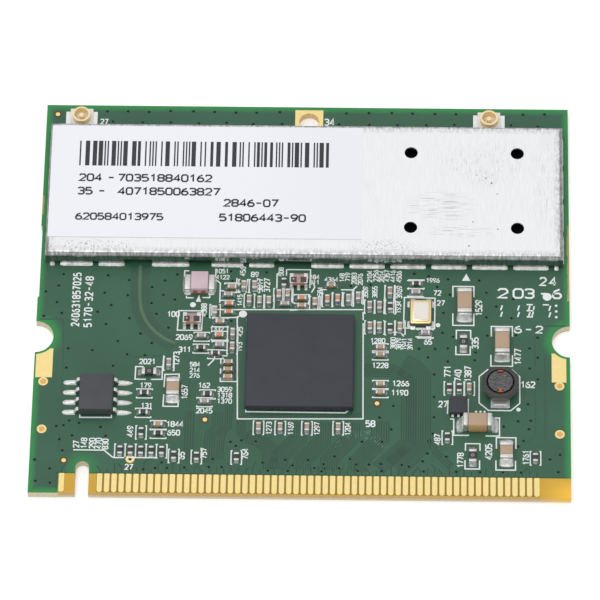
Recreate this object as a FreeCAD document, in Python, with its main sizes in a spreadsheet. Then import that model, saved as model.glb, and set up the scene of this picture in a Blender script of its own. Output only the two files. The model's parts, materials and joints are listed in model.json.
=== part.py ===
import FreeCAD, Part
import math
import os
import re
import Sketcher

# A laptop wireless network card: a bare circuit board with gold edge contacts, a folded tin
# shield can with a paper label, two coaxial aerial sockets and the chips of the radio.
# Millimetres. The card lies flat on its underside, component side up. X runs along the
# contact edge, +Y away from it, and Z = 0 is the underside. Heights are given above the
# board's top face, and places along Y are measured from the contact edge.

SIZES = {
    # circuit board
    "board_width": 59.6,
    "board_depth": 50.95,
    "board_thickness": 1.0,
    "contact_bevel": 0.12,
    "notch_radius": 2.0,
    "notch_from_edge": 20.0,
    "key_centre": -23.92,
    "key_width": 1.5,
    "key_length": 4.06,
    "screw_hole_radius": 1.15,
    "screw_hole_centre": 0.24,
    "back_row_inset": 2.0,
    "tab_scar_depth": 0.16,
    "tab_scar_length": 9.4,
    "tab_scar_from_edge": 25.2,
    # gold plated copper
    "copper_thickness": 0.05,
    "contact_pitch": 0.8,
    "contact_width": 0.6,
    "contact_length": 2.4,
    "contact_setback": 0.15,
    "first_contact": -21.96,
    "contact_count": 61,
    "lone_contact": -26.14,
    "bare_strip_depth": 2.6,
    "bare_strip_margin": 0.3,
    "side_pad_width": 2.05,
    "side_pad_start": 14.72,
    "side_pad_end": 18.45,
    "side_pad_clearance": 0.3,
    "screw_pad_side": 3.2,
    # shield can
    "shield_side_gap": 0.7,
    "shield_from_edge": 29.62,
    "shield_back_gap": 3.6,
    "shield_height": 1.97,
    "sheet_thickness": 0.2,
    "shield_bend_radius": 0.5,
    "vent_radius": 0.75,
    "vent_first": 11.93,
    "vent_pitch_x": 12.03,
    "vent_from_front": 4.0,
    "vent_pitch_y": 10.0,
    "foot_slot_width": 0.65,
    "foot_slot_height": 0.5,
    "foot_slot_first": 4.8,
    "foot_slot_pitch": 4.6,
    "foot_slot_count": 6,
    "side_slot_pitch": 4.4,
    "side_slot_count": 3,
    "passage_height": 0.95,
    "solder_strip_width": 0.3,
    "solder_strip_height": 0.22,
    # label
    "label_width": 35.3,
    "label_depth": 14.9,
    "label_thickness": 0.09,
    "label_from_side": 0.2,
    "label_from_front": 2.3,
    # processor
    "processor_side": 12.0,
    "processor_height": 0.95,
    "processor_standoff": 0.1,
    "processor_x": -0.23,
    "processor_from_edge": 16.73,
    "processor_chamfer": 0.12,
    "processor_land_pitch": 0.65,
    "processor_land_width": 0.32,
    "processor_land_length": 0.6,
    "processor_land_count": 16,
    "processor_slug_side": 7.0,
    # memory chip
    "memory_length": 4.7,
    "memory_width": 3.8,
    "memory_height": 1.3,
    "memory_standoff": 0.15,
    "memory_x": -22.68,
    "memory_from_edge": 12.15,
    "memory_draft": 8.0,
    "memory_parting": 0.62,
    "memory_pitch": 1.27,
    "memory_leads_a_side": 4,
    "memory_lead_width": 0.42,
    "memory_lead_thickness": 0.2,
    "memory_lead_span": 6.0,
    "memory_foot": 0.62,
    "memory_lead_bend": 0.12,
    "memory_solder_reach": 0.75,
    # voltage regulator
    "regulator_width": 1.95,
    "regulator_length": 2.05,
    "regulator_height": 0.8,
    "regulator_standoff": 0.08,
    "regulator_x": 17.42,
    "regulator_from_edge": 11.3,
    "regulator_pitch": 0.65,
    "regulator_leads_a_side": 3,
    "regulator_lead_width": 0.26,
    "regulator_lead_reach": 0.22,
    "regulator_lead_height": 0.3,
    "regulator_lead_thickness": 0.11,
    "regulator_lead_bend": 0.07,
    # power inductor
    "inductor_side": 4.0,
    "inductor_corner": 1.1,
    "inductor_height": 1.8,
    "inductor_x": 22.03,
    "inductor_from_edge": 13.75,
    "inductor_bore": 1.55,
    "drum_flange_radius": 1.36,
    "drum_flange_height": 0.4,
    "drum_hub_radius": 0.7,
    "winding_clearance": 0.08,
    "hub_clearance": 0.02,
    "inductor_rim_chamfer": 0.16,
    "inductor_terminal_width": 2.1,
    "inductor_terminal_reach": 0.45,
    "inductor_terminal_thickness": 0.16,
    "drum_notch_width": 0.62,
    # crystal
    "crystal_width": 2.5,
    "crystal_length": 3.2,
    "crystal_base_height": 0.45,
    "crystal_rim_height": 0.18,
    "crystal_rim_inset": 0.08,
    "crystal_lid_inset": 0.28,
    "crystal_lid_height": 0.12,
    "crystal_corner": 0.15,
    "crystal_land_width": 0.75,
    "crystal_land_reach": 0.3,
    "crystal_x": 13.17,
    "crystal_from_edge": 23.35,
    # aerial sockets
    "socket_x_left": -25.78,
    "socket_x_right": 20.78,
    "socket_base_side": 2.6,
    "socket_base_height": 0.38,
    "socket_terminal_reach": 0.5,
    "socket_terminal_length": 2.0,
    "socket_terminal_height": 0.16,
    "socket_shell_radius": 1.0,
    "socket_shell_wall": 0.2,
    "socket_height": 1.25,
    "socket_groove_depth": 0.05,
    "socket_groove_height": 0.22,
    "socket_groove_from_base": 0.28,
    "socket_pin_radius": 0.26,
    "socket_pin_height": 1.05,
    # ceramic radio filter
    "filter_width": 1.9,
    "filter_length": 2.3,
    "filter_height": 1.1,
    "filter_x": -11.65,
    "filter_from_edge": 26.95,
    "filter_terminal_reach": 0.75,
    "filter_terminal_height": 0.7,
    "filter_terminal_length": 2.0,
    # transformers
    "transformer_width": 2.0,
    "transformer_depth": 1.25,
    "transformer_height": 0.9,
    "transformer_end": 0.42,
    # chip capacitors, resistors and coils, size of the body and of the metal ends
    "chip_length": 1.0,
    "chip_width": 0.5,
    "chip_end": 0.24,
    "chip_capacitor_height": 0.5,
    "chip_resistor_height": 0.35,
    "chip_coil_height": 0.48,
    "chip_solder_reach": 0.2,
    "chip_end_wrap": 0.02,
    "medium_chip_length": 1.6,
    "medium_chip_width": 0.8,
    "medium_chip_end": 0.34,
    "medium_resistor_height": 0.45,
    "medium_capacitor_height": 0.7,
    "medium_solder_reach": 0.45,
    "large_chip_length": 2.1,
    "large_chip_width": 1.4,
    "large_chip_end": 0.5,
    "large_chip_height": 0.95,
    "tank_chip_length": 3.2,
    "tank_chip_width": 1.6,
    "tank_chip_end": 0.55,
    "tank_chip_height": 1.2,
    "tall_tank_height": 1.6,
    "large_solder_reach": 0.65,
    # solder fillets, as shares of the end face that they climb
    "solder_climb": 0.7,
    "solder_toe": 0.76,
    # pieces under the shield, whose places along Y are shares of their free room
    "amplifier_side": 4.0,
    "amplifier_height": 0.9,
    "switch_side": 2.0,
    "switch_height": 0.6,
}

# Chip parts: x from the card's centre line, distance from the contact edge, and the quarter
# turns from lying along X. Rows that repeat are made by a loop.
ALONG = 0
ACROSS = 1

SMALL_CAPACITORS = [
    (-8.0, 26.6, ALONG), (-9.25, 22.05, ALONG), (-11.25, 20.15, ALONG), (-9.2, 19.0, ALONG),
    (-11.3, 18.6, ALONG), (-9.65, 17.9, ALONG), (-7.8, 20.6, ACROSS), (-7.8, 18.8, ACROSS),
    (-10.7, 11.7, ALONG), (-6.7, 26.85, ACROSS), (-5.5, 26.85, ACROSS), (-6.05, 24.95, ACROSS),
    (-2.75, 25.7, ACROSS), (-1.75, 25.8, ACROSS), (-0.15, 24.2, ALONG), (1.3, 24.7, ACROSS),
    (3.1, 26.95, ALONG), (6.15, 25.5, ACROSS), (7.45, 24.3, ACROSS), (8.55, 24.3, ACROSS),
    (9.7, 26.2, ACROSS), (7.5, 21.6, ACROSS), (8.55, 21.6, ACROSS), (10.85, 21.6, ACROSS),
    (8.7, 18.9, ALONG), (8.7, 17.95, ALONG), (8.75, 14.15, ALONG), (8.75, 13.1, ALONG),
    (-4.65, 8.5, ACROSS), (-2.25, 8.5, ACROSS), (0.7, 8.5, ACROSS), (4.15, 8.55, ACROSS),
    (12.6, 26.15, ALONG), (13.7, 20.85, ALONG), (18.6, 13.8, ACROSS), (-15.75, 8.7, ALONG),
    (-14.8, 16.6, ACROSS),
]
SMALL_COILS = [
    (-8.4, 25.6, ALONG), (-8.3, 24.4, ALONG), (-8.3, 23.3, ALONG), (-9.3, 20.3, ALONG),
    (-0.15, 25.2, ALONG), (2.7, 25.1, ACROSS), (3.85, 25.2, ACROSS), (-9.85, 23.5, ACROSS),
    (-4.9, 24.85, ACROSS), (-3.85, 24.85, ACROSS), (5.05, 25.2, ACROSS), (-2.05, 24.45, ALONG),
]
SMALL_RESISTORS = [
    (-10.4, 12.7, ALONG), (-2.2, 27.3, ACROSS), (9.75, 24.25, ACROSS), (9.75, 21.5, ACROSS),
    (12.65, 27.3, ALONG), (16.4, 13.8, ACROSS), (17.5, 13.8, ACROSS), (16.2, 7.5, ACROSS),
    (25.9, 5.0, ACROSS), (-17.4, 12.75, ALONG), (-17.45, 10.25, ALONG), (-15.7, 7.6, ALONG),
    (-17.6, 7.75, ACROSS), (-13.9, 4.8, ACROSS), (-11.4, 4.7, ACROSS), (-7.0, 4.7, ACROSS),
]
RESISTOR_ROW = {"first": -19.85, "pitch": 1.15, "count": 5, "from_edge": 5.4}
CAPACITOR_STACK = {"x": -8.2, "first": 14.75, "pitch": 0.95, "count": 3}
MEDIUM_RESISTORS = [(-16.95, 15.45, ALONG), (17.95, 19.65, ACROSS), (19.0, 5.1, ACROSS)]
LARGE_CAPACITORS = {
    "memory_capacitor": (-14.25, 13.25, ACROSS),
    "output_capacitor": (22.7, 5.6, ACROSS),
}
TANK_CAPACITORS = {
    "upper_tank_capacitor": (18.05, 24.65, ACROSS),
    "lower_tank_capacitor": (22.25, 19.5, ACROSS),
}
TALL_TANK = (19.51, 9.05, ALONG)
TRANSFORMERS = [(-12.38, 22.15, ALONG), (-0.55, 27.4, ALONG)]
LEFT_FOOT_SLOTS = [-27.75, -23.45, -6.5]
PASSAGES = {
    "filter_passage": (-18.65, 3.1),
    "coil_passage": (-11.65, 2.5),
    "transformer_passage": (-1.25, 4.15),
}

# Parts under the can: x, and their place in the can's free depth, from -1 at the front wall
# to 1 at the back wall.
AMPLIFIERS = [(-15.0, 0.0), (3.0, 0.0)]
AERIAL_SWITCHES = [(-21.5, 0.52), (18.0, 0.52)]
INNER_FILTERS = [(-8.5, 0.52), (10.0, -0.19)]
INNER_CAPACITORS = [(-18.6, 0.08), (-11.4, 0.08), (-0.6, 0.08), (6.6, 0.08)]

document = FreeCAD.newDocument("laptop_wifi_card")
sheet = document.addObject("Spreadsheet::Sheet", "sizes")
for row, (alias, number) in enumerate(SIZES.items(), start=1):
    sheet.set(f"A{row}", alias)
    sheet.set(f"B{row}", str(number))
    sheet.setAlias(f"B{row}", alias)
document.recompute()

UP = FreeCAD.Vector(0, 0, 1)
TOP = "board_thickness"
FRONT = "-board_depth / 2"
BACK_ROW = "board_depth / 2 - back_row_inset"
THROUGH_BOARD = "board_thickness * 3"
THROUGH_WALL = "sheet_thickness * 3"
SAME_HEIGHT = 1e-6
nodes = {}


def size(alias):
    return float(getattr(sheet, alias))


def formula(text):
    """Each size named in the text, as a reference to its cell."""

    def reference(word):
        return f"sizes.{word[0]}" if word[0] in SIZES else word[0]

    return re.sub(r"[a-z_]+", reference, text)


def bind(thing, path, text):
    thing.setExpression(path, formula(str(text)))


def place_at(thing, x, y, z):
    for axis, text in zip("xyz", (x, y, z)):
        bind(thing, f".Placement.Base.{axis}", text)


def node(label, thing):
    thing.Label = label
    nodes[label] = thing
    return thing


def box(name, length, width, height, x, y, z):
    """A block whose footprint is centred at x, y and whose underside is at z."""
    block = document.addObject("Part::Box", name)
    bind(block, "Length", length)
    bind(block, "Width", width)
    bind(block, "Height", height)
    place_at(block, f"{x} - ({length}) / 2", f"{y} - ({width}) / 2", z)
    return block


def cylinder(name, radius, height, x, y, z):
    rod = document.addObject("Part::Cylinder", name)
    bind(rod, "Radius", radius)
    bind(rod, "Height", height)
    place_at(rod, x, y, z)
    return rod


def cone(name, lower_radius, upper_radius, height, x, y, z):
    frustum = document.addObject("Part::Cone", name)
    bind(frustum, "Radius1", lower_radius)
    bind(frustum, "Radius2", upper_radius)
    bind(frustum, "Height", height)
    place_at(frustum, x, y, z)
    return frustum


def cut(name, base, tool):
    result = document.addObject("Part::Cut", name)
    result.Base = base
    result.Tool = tool
    return result


def group(name, pieces):
    bundle = document.addObject("Part::Compound", name)
    bundle.Links = pieces
    return bundle


def add_body(name):
    return document.addObject("PartDesign::Body", name)


def origin_plane(body, role):
    return next(plane for plane in body.Origin.OriginFeatures if plane.Role == role)


def sketch_on(body, name, role, x="0", y="0", z="0"):
    """A sketch on an origin plane, its own origin moved to x, y and lifted z along the normal."""
    sketch = body.newObject("Sketcher::SketchObject", name)
    sketch.AttachmentSupport = [(origin_plane(body, role), "")]
    sketch.MapMode = "FlatFace"
    for axis, text in zip("xyz", (x, y, z)):
        bind(sketch, f".AttachmentOffset.Base.{axis}", text)
    return sketch


def draw_rectangle(sketch, width, depth):
    """A rectangle about the sketch's origin."""
    corners = [FreeCAD.Vector(x, y, 0) for x, y in ((-1, -1), (1, -1), (1, 1), (-1, 1))]
    for index in range(4):
        sketch.addGeometry(Part.LineSegment(corners[index], corners[(index + 1) % 4]), False)
    for index in range(4):
        sketch.addConstraint(Sketcher.Constraint("Coincident", index, 2, (index + 1) % 4, 1))
    for index in (0, 2):
        sketch.addConstraint(Sketcher.Constraint("Horizontal", index))
        sketch.addConstraint(Sketcher.Constraint("Vertical", index + 1))
    sketch.addConstraint(Sketcher.Constraint("Symmetric", 0, 1, 1, 2, -1, 1))
    across = sketch.addConstraint(Sketcher.Constraint("DistanceX", 0, 1, 0, 2, 1.0))
    along = sketch.addConstraint(Sketcher.Constraint("DistanceY", 1, 1, 1, 2, 1.0))
    bind(sketch, f"Constraints[{across}]", width)
    bind(sketch, f"Constraints[{along}]", depth)


def draw_circle(sketch, radius):
    """A circle about the sketch's origin."""
    sketch.addGeometry(Part.Circle(FreeCAD.Vector(0, 0, 0), UP, 1.0), False)
    sketch.addConstraint(Sketcher.Constraint("Coincident", 0, 3, -1, 1))
    rim = sketch.addConstraint(Sketcher.Constraint("Radius", 0, 1.0))
    bind(sketch, f"Constraints[{rim}]", radius)


def draw_arch(sketch, width, length):
    """A straight sided arch with a round end, its foot centred on the sketch's origin."""
    left, right = FreeCAD.Vector(-0.5, 0, 0), FreeCAD.Vector(0.5, 0, 0)
    high_left, high_right = FreeCAD.Vector(-0.5, 1, 0), FreeCAD.Vector(0.5, 1, 0)
    sketch.addGeometry(Part.LineSegment(left, right), False)
    sketch.addGeometry(Part.LineSegment(right, high_right), False)
    sketch.addGeometry(Part.Arc(high_right, FreeCAD.Vector(0, 1.5, 0), high_left), False)
    sketch.addGeometry(Part.LineSegment(high_left, left), False)
    sketch.addConstraint(Sketcher.Constraint("Coincident", 0, 2, 1, 1))
    sketch.addConstraint(Sketcher.Constraint("Coincident", 3, 2, 0, 1))
    sketch.addConstraint(Sketcher.Constraint("Tangent", 1, 2, 2, 1))
    sketch.addConstraint(Sketcher.Constraint("Tangent", 2, 2, 3, 1))
    sketch.addConstraint(Sketcher.Constraint("Horizontal", 0))
    sketch.addConstraint(Sketcher.Constraint("Vertical", 1))
    sketch.addConstraint(Sketcher.Constraint("Vertical", 3))
    sketch.addConstraint(Sketcher.Constraint("Symmetric", 0, 1, 0, 2, -1, 1))
    foot = sketch.addConstraint(Sketcher.Constraint("DistanceX", 0, 1, 0, 2, 1.0))
    rise = sketch.addConstraint(Sketcher.Constraint("DistanceY", -1, 1, 2, 3, 1.0))
    bind(sketch, f"Constraints[{foot}]", width)
    bind(sketch, f"Constraints[{rise}]", f"{length} - ({width}) / 2")


def pad(body, sketch, length, taper=None, reverse=False):
    feature = body.newObject("PartDesign::Pad", f"{sketch.Name}_pad")
    feature.Profile = sketch
    feature.Reversed = reverse
    bind(feature, "Length", length)
    if taper:
        bind(feature, "TaperAngle", f"-({taper})")
    body.Tip = feature
    return feature


def pocket(body, sketch, depth, midplane=False, reverse=False):
    feature = body.newObject("PartDesign::Pocket", f"{sketch.Name}_pocket")
    feature.Profile = sketch
    feature.Reversed = reverse
    if midplane:
        feature.Midplane = True
    bind(feature, "Length", depth)
    body.Tip = feature
    return feature


def repeat(body, feature, sketch, axis, pitch, count):
    """Copies of a feature in a row along one axis of its sketch."""
    pattern = body.newObject("PartDesign::LinearPattern", f"{feature.Name}_row")
    pattern.Originals = [feature]
    pattern.Direction = (sketch, [axis])
    bind(pattern, "Length", f"({pitch}) * ({count} - 1)")
    bind(pattern, "Occurrences", count)
    body.Tip = pattern
    return pattern


def make_board():
    """The laminate: outline, bevelled contact edge, notches, key slot, screw hole and reliefs
    under the copper."""
    board = add_body("board")
    outline = sketch_on(board, "board_outline", "XY_Plane")
    draw_rectangle(outline, "board_width", "board_depth")
    slab = pad(board, outline, "board_thickness")
    document.recompute()
    front = -size("board_depth") / 2
    bevel = board.newObject("PartDesign::Chamfer", "contact_edge_bevel")
    bevel.Base = (slab, edges_where(slab.Shape, lambda edge: at_depth(edge, front) and not upright(edge)))
    bind(bevel, "Size", "contact_bevel")
    board.Tip = bevel
    notch_y = f"{FRONT} + notch_from_edge"
    for side, sign in (("left", "-"), ("right", "")):
        notch = sketch_on(board, f"{side}_notch", "XY_Plane", f"{sign}board_width / 2", notch_y)
        draw_circle(notch, "notch_radius")
        pocket(board, notch, THROUGH_BOARD, midplane=True)
    key = sketch_on(board, "key_slot", "XY_Plane", "key_centre", FRONT)
    draw_arch(key, "key_width", "key_length")
    pocket(board, key, THROUGH_BOARD, midplane=True)
    hole = sketch_on(board, "screw_hole", "XY_Plane", "screw_hole_centre", BACK_ROW)
    draw_circle(hole, "screw_hole_radius")
    pocket(board, hole, THROUGH_BOARD, midplane=True)
    scar_y = f"{FRONT} + tab_scar_from_edge + tab_scar_length / 2"
    scar = sketch_on(board, "tab_scar", "XY_Plane", "-board_width / 2", scar_y)
    draw_rectangle(scar, "tab_scar_depth * 2", "tab_scar_length")
    pocket(board, scar, THROUGH_BOARD, midplane=True)
    strip_start = "lone_contact - contact_width / 2 - bare_strip_margin"
    strip_width = f"board_width / 2 - ({strip_start}) + 1"
    pad_middle = f"{FRONT} + (side_pad_start + side_pad_end) / 2"
    pad_x = "(board_width - side_pad_width) / 2"
    pad_depth = "side_pad_end - side_pad_start"
    reliefs = {
        "contact": (f"({strip_start}) + ({strip_width}) / 2", FRONT, strip_width, "bare_strip_depth * 2"),
        "left_pad": (f"-({pad_x})", pad_middle, "side_pad_width", pad_depth),
        "right_pad": (pad_x, pad_middle, "side_pad_width", pad_depth),
        "screw_pad": ("screw_hole_centre", BACK_ROW, "screw_pad_side", "screw_pad_side"),
    }
    for face, height, reverse in (("top", TOP, False), ("bottom", "0", True)):
        for name, (x, y, width, depth) in reliefs.items():
            relief = sketch_on(board, f"{face}_{name}_relief", "XY_Plane", x, y, height)
            draw_rectangle(relief, width, depth)
            pocket(board, relief, "copper_thickness", reverse=reverse)
    return node("circuit_board", board)


def make_contacts(face, height):
    """A row of gold fingers, and the lone one beyond the key slot."""
    row = add_body(f"{face}_contacts")
    y = f"{FRONT} + contact_setback + contact_length / 2"
    first = sketch_on(row, f"{face}_first_contact", "XY_Plane", "first_contact", y, height)
    draw_rectangle(first, "contact_width", "contact_length")
    finger = pad(row, first, "copper_thickness")
    repeat(row, finger, first, "H_Axis", "contact_pitch", "contact_count")
    lone = sketch_on(row, f"{face}_lone_contact", "XY_Plane", "lone_contact", y, height)
    draw_rectangle(lone, "contact_width", "contact_length")
    pad(row, lone, "copper_thickness")
    return node(f"edge_contacts_{face}", row)


def make_side_pads():
    """The grounding pads below the side notches, on both faces, hollowed to clear the notch."""
    pads = []
    y = f"{FRONT} + (side_pad_start + side_pad_end) / 2"
    for side, sign in (("left", "-"), ("right", "")):
        for face, height in (("top", "board_thickness - copper_thickness"), ("bottom", "0")):
            x = f"{sign}(board_width - side_pad_width) / 2"
            plate = box(f"{side}_{face}_plate", "side_pad_width", "side_pad_end - side_pad_start",
                        "copper_thickness", x, y, height)
            clearing = cylinder(f"{side}_{face}_clearing", "notch_radius + side_pad_clearance",
                                "copper_thickness", f"{sign}board_width / 2",
                                f"{FRONT} + notch_from_edge", height)
            pads.append(cut(f"{side}_{face}_pad", plate, clearing))
    return node("side_ground_pads", group("side_pads", pads))


def make_screw_pads():
    pads = []
    for face, height in (("top", "board_thickness - copper_thickness"), ("bottom", "0")):
        plate = box(f"screw_{face}_plate", "screw_pad_side", "screw_pad_side", "copper_thickness",
                    "screw_hole_centre", BACK_ROW, height)
        hole = cylinder(f"screw_{face}_hole", "screw_hole_radius", "copper_thickness",
                        "screw_hole_centre", BACK_ROW, height)
        pads.append(cut(f"screw_{face}_pad", plate, hole))
    return node("screw_ground_pads", group("screw_pads", pads))


SHIELD_WIDTH = "board_width - 2 * shield_side_gap"
SHIELD_FRONT = f"{FRONT} + shield_from_edge"
SHIELD_BACK = "board_depth / 2 - shield_back_gap"
SHIELD_DEPTH = f"({SHIELD_BACK}) - ({SHIELD_FRONT})"


def edges_where(shape, test):
    return [f"Edge{number}" for number, edge in enumerate(shape.Edges, start=1) if test(edge)]


def upright(edge):
    return abs(edge.tangentAt(edge.FirstParameter).z) > 0.999


def at_height(edge, height):
    return all(abs(vertex.Z - height) < SAME_HEIGHT for vertex in edge.Vertexes)


def at_depth(edge, depth):
    return all(abs(vertex.Y - depth) < SAME_HEIGHT for vertex in edge.Vertexes)


def make_shield():
    """One folded sheet: walls bent down from the lid and meeting at the corners, four vents, foot
    slots and the passages for the parts."""
    can = add_body("can")
    middle_y = f"(({SHIELD_FRONT}) + ({SHIELD_BACK})) / 2"
    footprint = sketch_on(can, "can_footprint", "XY_Plane", "0", middle_y, TOP)
    draw_rectangle(footprint, SHIELD_WIDTH, SHIELD_DEPTH)
    block = pad(can, footprint, "shield_height")
    document.recompute()
    lid_height = size("board_thickness") + size("shield_height")
    bend = can.newObject("PartDesign::Fillet", "can_bend")
    bend.Base = (block, edges_where(block.Shape, lambda edge: at_height(edge, lid_height)))
    bind(bend, "Radius", "shield_bend_radius")
    can.Tip = bend
    document.recompute()
    floor = [f"Face{number}" for number, face in enumerate(bend.Shape.Faces, start=1)
             if abs(face.CenterOfMass.z - size("board_thickness")) < SAME_HEIGHT]
    shell = can.newObject("PartDesign::Thickness", "can_shell")
    shell.Base = (bend, floor)
    shell.Reversed = True
    shell.Join = 0
    bind(shell, "Value", "sheet_thickness")
    can.Tip = shell
    document.recompute()
    for row in (0, 1):
        vent_y = f"({SHIELD_FRONT}) + vent_from_front + vent_pitch_y * {row}"
        vent = sketch_on(can, f"vent_{row}", "XY_Plane", "vent_first", vent_y, f"{TOP} + shield_height")
        draw_circle(vent, "vent_radius")
        hole = pocket(can, vent, "sheet_thickness * 2")
        repeat(can, hole, vent, "H_Axis", "vent_pitch_x", "2")
    slot_form = "foot_slot_width", "foot_slot_height * 2"
    first_side_slot = f"({middle_y}) - side_slot_pitch * (side_slot_count - 1) / 2"
    for wall, y in (("front", SHIELD_FRONT), ("back", SHIELD_BACK)):
        first = sketch_on(can, f"{wall}_slot", "XZ_Plane", "foot_slot_first", TOP, f"-({y})")
        draw_rectangle(first, *slot_form)
        slot = pocket(can, first, THROUGH_WALL, midplane=True)
        repeat(can, slot, first, "H_Axis", "foot_slot_pitch", "foot_slot_count")
        for number, x in enumerate(LEFT_FOOT_SLOTS):
            left = sketch_on(can, f"{wall}_left_slot_{number}", "XZ_Plane", x, TOP, f"-({y})")
            draw_rectangle(left, *slot_form)
            pocket(can, left, THROUGH_WALL, midplane=True)
    for name, (x, width) in PASSAGES.items():
        opening = sketch_on(can, name, "XZ_Plane", x, TOP, f"-({SHIELD_FRONT})")
        draw_rectangle(opening, width, "passage_height * 2")
        pocket(can, opening, THROUGH_WALL, midplane=True)
    for side, sign in (("left", "-"), ("right", "")):
        first = sketch_on(can, f"{side}_slot", "YZ_Plane", first_side_slot, TOP,
                          f"{sign}({SHIELD_WIDTH}) / 2")
        draw_rectangle(first, *slot_form)
        slot = pocket(can, first, THROUGH_WALL, midplane=True)
        repeat(can, slot, first, "H_Axis", "side_slot_pitch", "side_slot_count")
    return node("shield_can", can)


def wedge(name, reach, width, height, x, y, z, turn):
    """A solder fillet: it leans on an end face at x, y and runs out to a thin toe.
    The turn, in degrees about Z, sets the way that it runs; 0 is towards +Y."""
    fillet = document.addObject("Part::Wedge", name)
    corners = {
        "Xmin": f"-({width}) / 2", "Xmax": f"({width}) / 2",
        "Ymin": "0", "Ymax": reach,
        "Zmin": "0", "Zmax": height,
        "X2min": f"-({width}) * solder_toe / 2", "X2max": f"({width}) * solder_toe / 2",
        "Z2min": "0", "Z2max": "0",
    }
    for corner, text in corners.items():
        bind(fillet, corner, text)
    fillet.Placement.Rotation = FreeCAD.Rotation(UP, turn)
    place_at(fillet, x, y, z)
    return fillet


def chip_template(name, length, width, height, end, reach=None):
    """A leadless chip lying along X about the origin: its middle, two metal ends and, where it
    has a reach, their solder fillets."""
    wrap = "chip_end_wrap"
    middle = box(f"{name}_middle", f"{length} - 2 * {end}", width, height, "0", "0", "0")
    ends, solder = [], []
    for side, sign, turn in (("left", "-", 90), ("right", "", -90)):
        ends.append(box(f"{name}_{side}_end", end, f"{width} + 2 * {wrap}", f"{height} + {wrap}",
                        f"{sign}({length} - {end}) / 2", "0", "0"))
        if reach:
            solder.append(wedge(f"{name}_{side}_solder", reach, f"{width} + {wrap}",
                                f"({height}) * solder_climb", f"{sign}({length}) / 2", "0", "0", turn))
    return {"middle": [middle], "ends": ends, "solder": solder}


def shift(x, y=0.0):
    return FreeCAD.Placement(FreeCAD.Vector(x, y, 0), FreeCAD.Rotation())


def turned(degrees):
    return FreeCAD.Placement(FreeCAD.Vector(), FreeCAD.Rotation(UP, degrees))


def stand(x, from_edge, turns):
    """Where a part stands: on the board's top face, at a distance from the contact edge."""
    place = FreeCAD.Vector(x, from_edge - size("board_depth") / 2, size("board_thickness"))
    return FreeCAD.Placement(place, FreeCAD.Rotation(UP, 90 * turns))


def copies(pieces, stands):
    """The pieces of a template, copied to each stand."""
    solids = []
    for place in stands:
        for piece in pieces:
            solid = piece.Shape.copy()
            solid.Placement = place.multiply(piece.Placement)
            solids.append(solid)
    return solids


def scatter(label, solids):
    feature = document.addObject("Part::Feature", label)
    feature.Shape = Part.makeCompound(solids)
    return node(label, feature)


def make_label():
    x = f"-({SHIELD_WIDTH}) / 2 + label_from_side + label_width / 2"
    y = f"{SHIELD_FRONT} + label_from_front + label_depth / 2"
    sheet_of_paper = add_body("paper")
    outline = sketch_on(sheet_of_paper, "label_outline", "XY_Plane", x, y, f"{TOP} + shield_height")
    draw_rectangle(outline, "label_width", "label_depth")
    pad(sheet_of_paper, outline, "label_thickness")
    return node("label", sheet_of_paper)


def make_shield_solder():
    """Solder along the feet of the can, broken at each slot and passage."""
    front = size("shield_from_edge") - size("board_depth") / 2
    back = size("board_depth") / 2 - size("shield_back_gap")
    half = size("board_width") / 2 - size("shield_side_gap")
    corner = size("shield_bend_radius")
    slot_half = size("foot_slot_width") / 2
    slots = LEFT_FOOT_SLOTS + [size("foot_slot_first") + size("foot_slot_pitch") * step
                               for step in range(int(size("foot_slot_count")))]
    gaps = [(x - slot_half, x + slot_half) for x in slots]
    passages = [(x - width / 2, x + width / 2) for x, width in PASSAGES.values()]
    side_count = int(size("side_slot_count"))
    side_slots = [(front + back) / 2 + size("side_slot_pitch") * (step - (side_count - 1) / 2)
                  for step in range(side_count)]
    side_gaps = [(y - slot_half, y + slot_half) for y in side_slots]
    strips = []
    for start, end in runs_between(-half + corner, half - corner, gaps + passages):
        strips.append(solder_strip(start, end, FreeCAD.Vector(0, front, 0), 0, 1))
    for start, end in runs_between(-half + corner, half - corner, gaps):
        strips.append(solder_strip(start, end, FreeCAD.Vector(0, back, 0), 0, -1))
    for start, end in runs_between(front + corner, back - corner, side_gaps):
        strips.append(solder_strip(start, end, FreeCAD.Vector(-half, 0, 0), 90, -1))
        strips.append(solder_strip(start, end, FreeCAD.Vector(half, 0, 0), 90, 1))
    return scatter("shield_solder", strips)


def runs_between(start, end, gaps):
    """The stretches of a wall's foot that no slot or passage breaks."""
    runs = []
    for low, high in sorted(gaps):
        if low - start > size("foot_slot_width") / 2:
            runs.append((start, low))
        start = max(start, high)
    runs.append((start, end))
    return runs


def solder_strip(start, end, wall, turn, side):
    """A three cornered bead along a wall's foot, on the given side of it."""
    width = -side * size("solder_strip_width")
    corners = [FreeCAD.Vector(start, 0, 0), FreeCAD.Vector(start, width, 0),
               FreeCAD.Vector(start, 0, size("solder_strip_height"))]
    bead = Part.Face(Part.makePolygon(corners + corners[:1])).extrude(FreeCAD.Vector(end - start, 0, 0))
    lift = FreeCAD.Vector(0, 0, size("board_thickness"))
    bead.Placement = FreeCAD.Placement(wall + lift, FreeCAD.Rotation(UP, turn))
    return bead


def eased(corners, ease):
    """The corners of a route in the XZ plane, each inner one cut back by the ease both ways."""
    route = [corners[0]]
    for before, here, after in zip(corners, corners[1:], corners[2:]):
        route.append(here + (before - here).normalize() * ease)
        route.append(here + (after - here).normalize() * ease)
    route.append(corners[-1])
    return route


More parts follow.
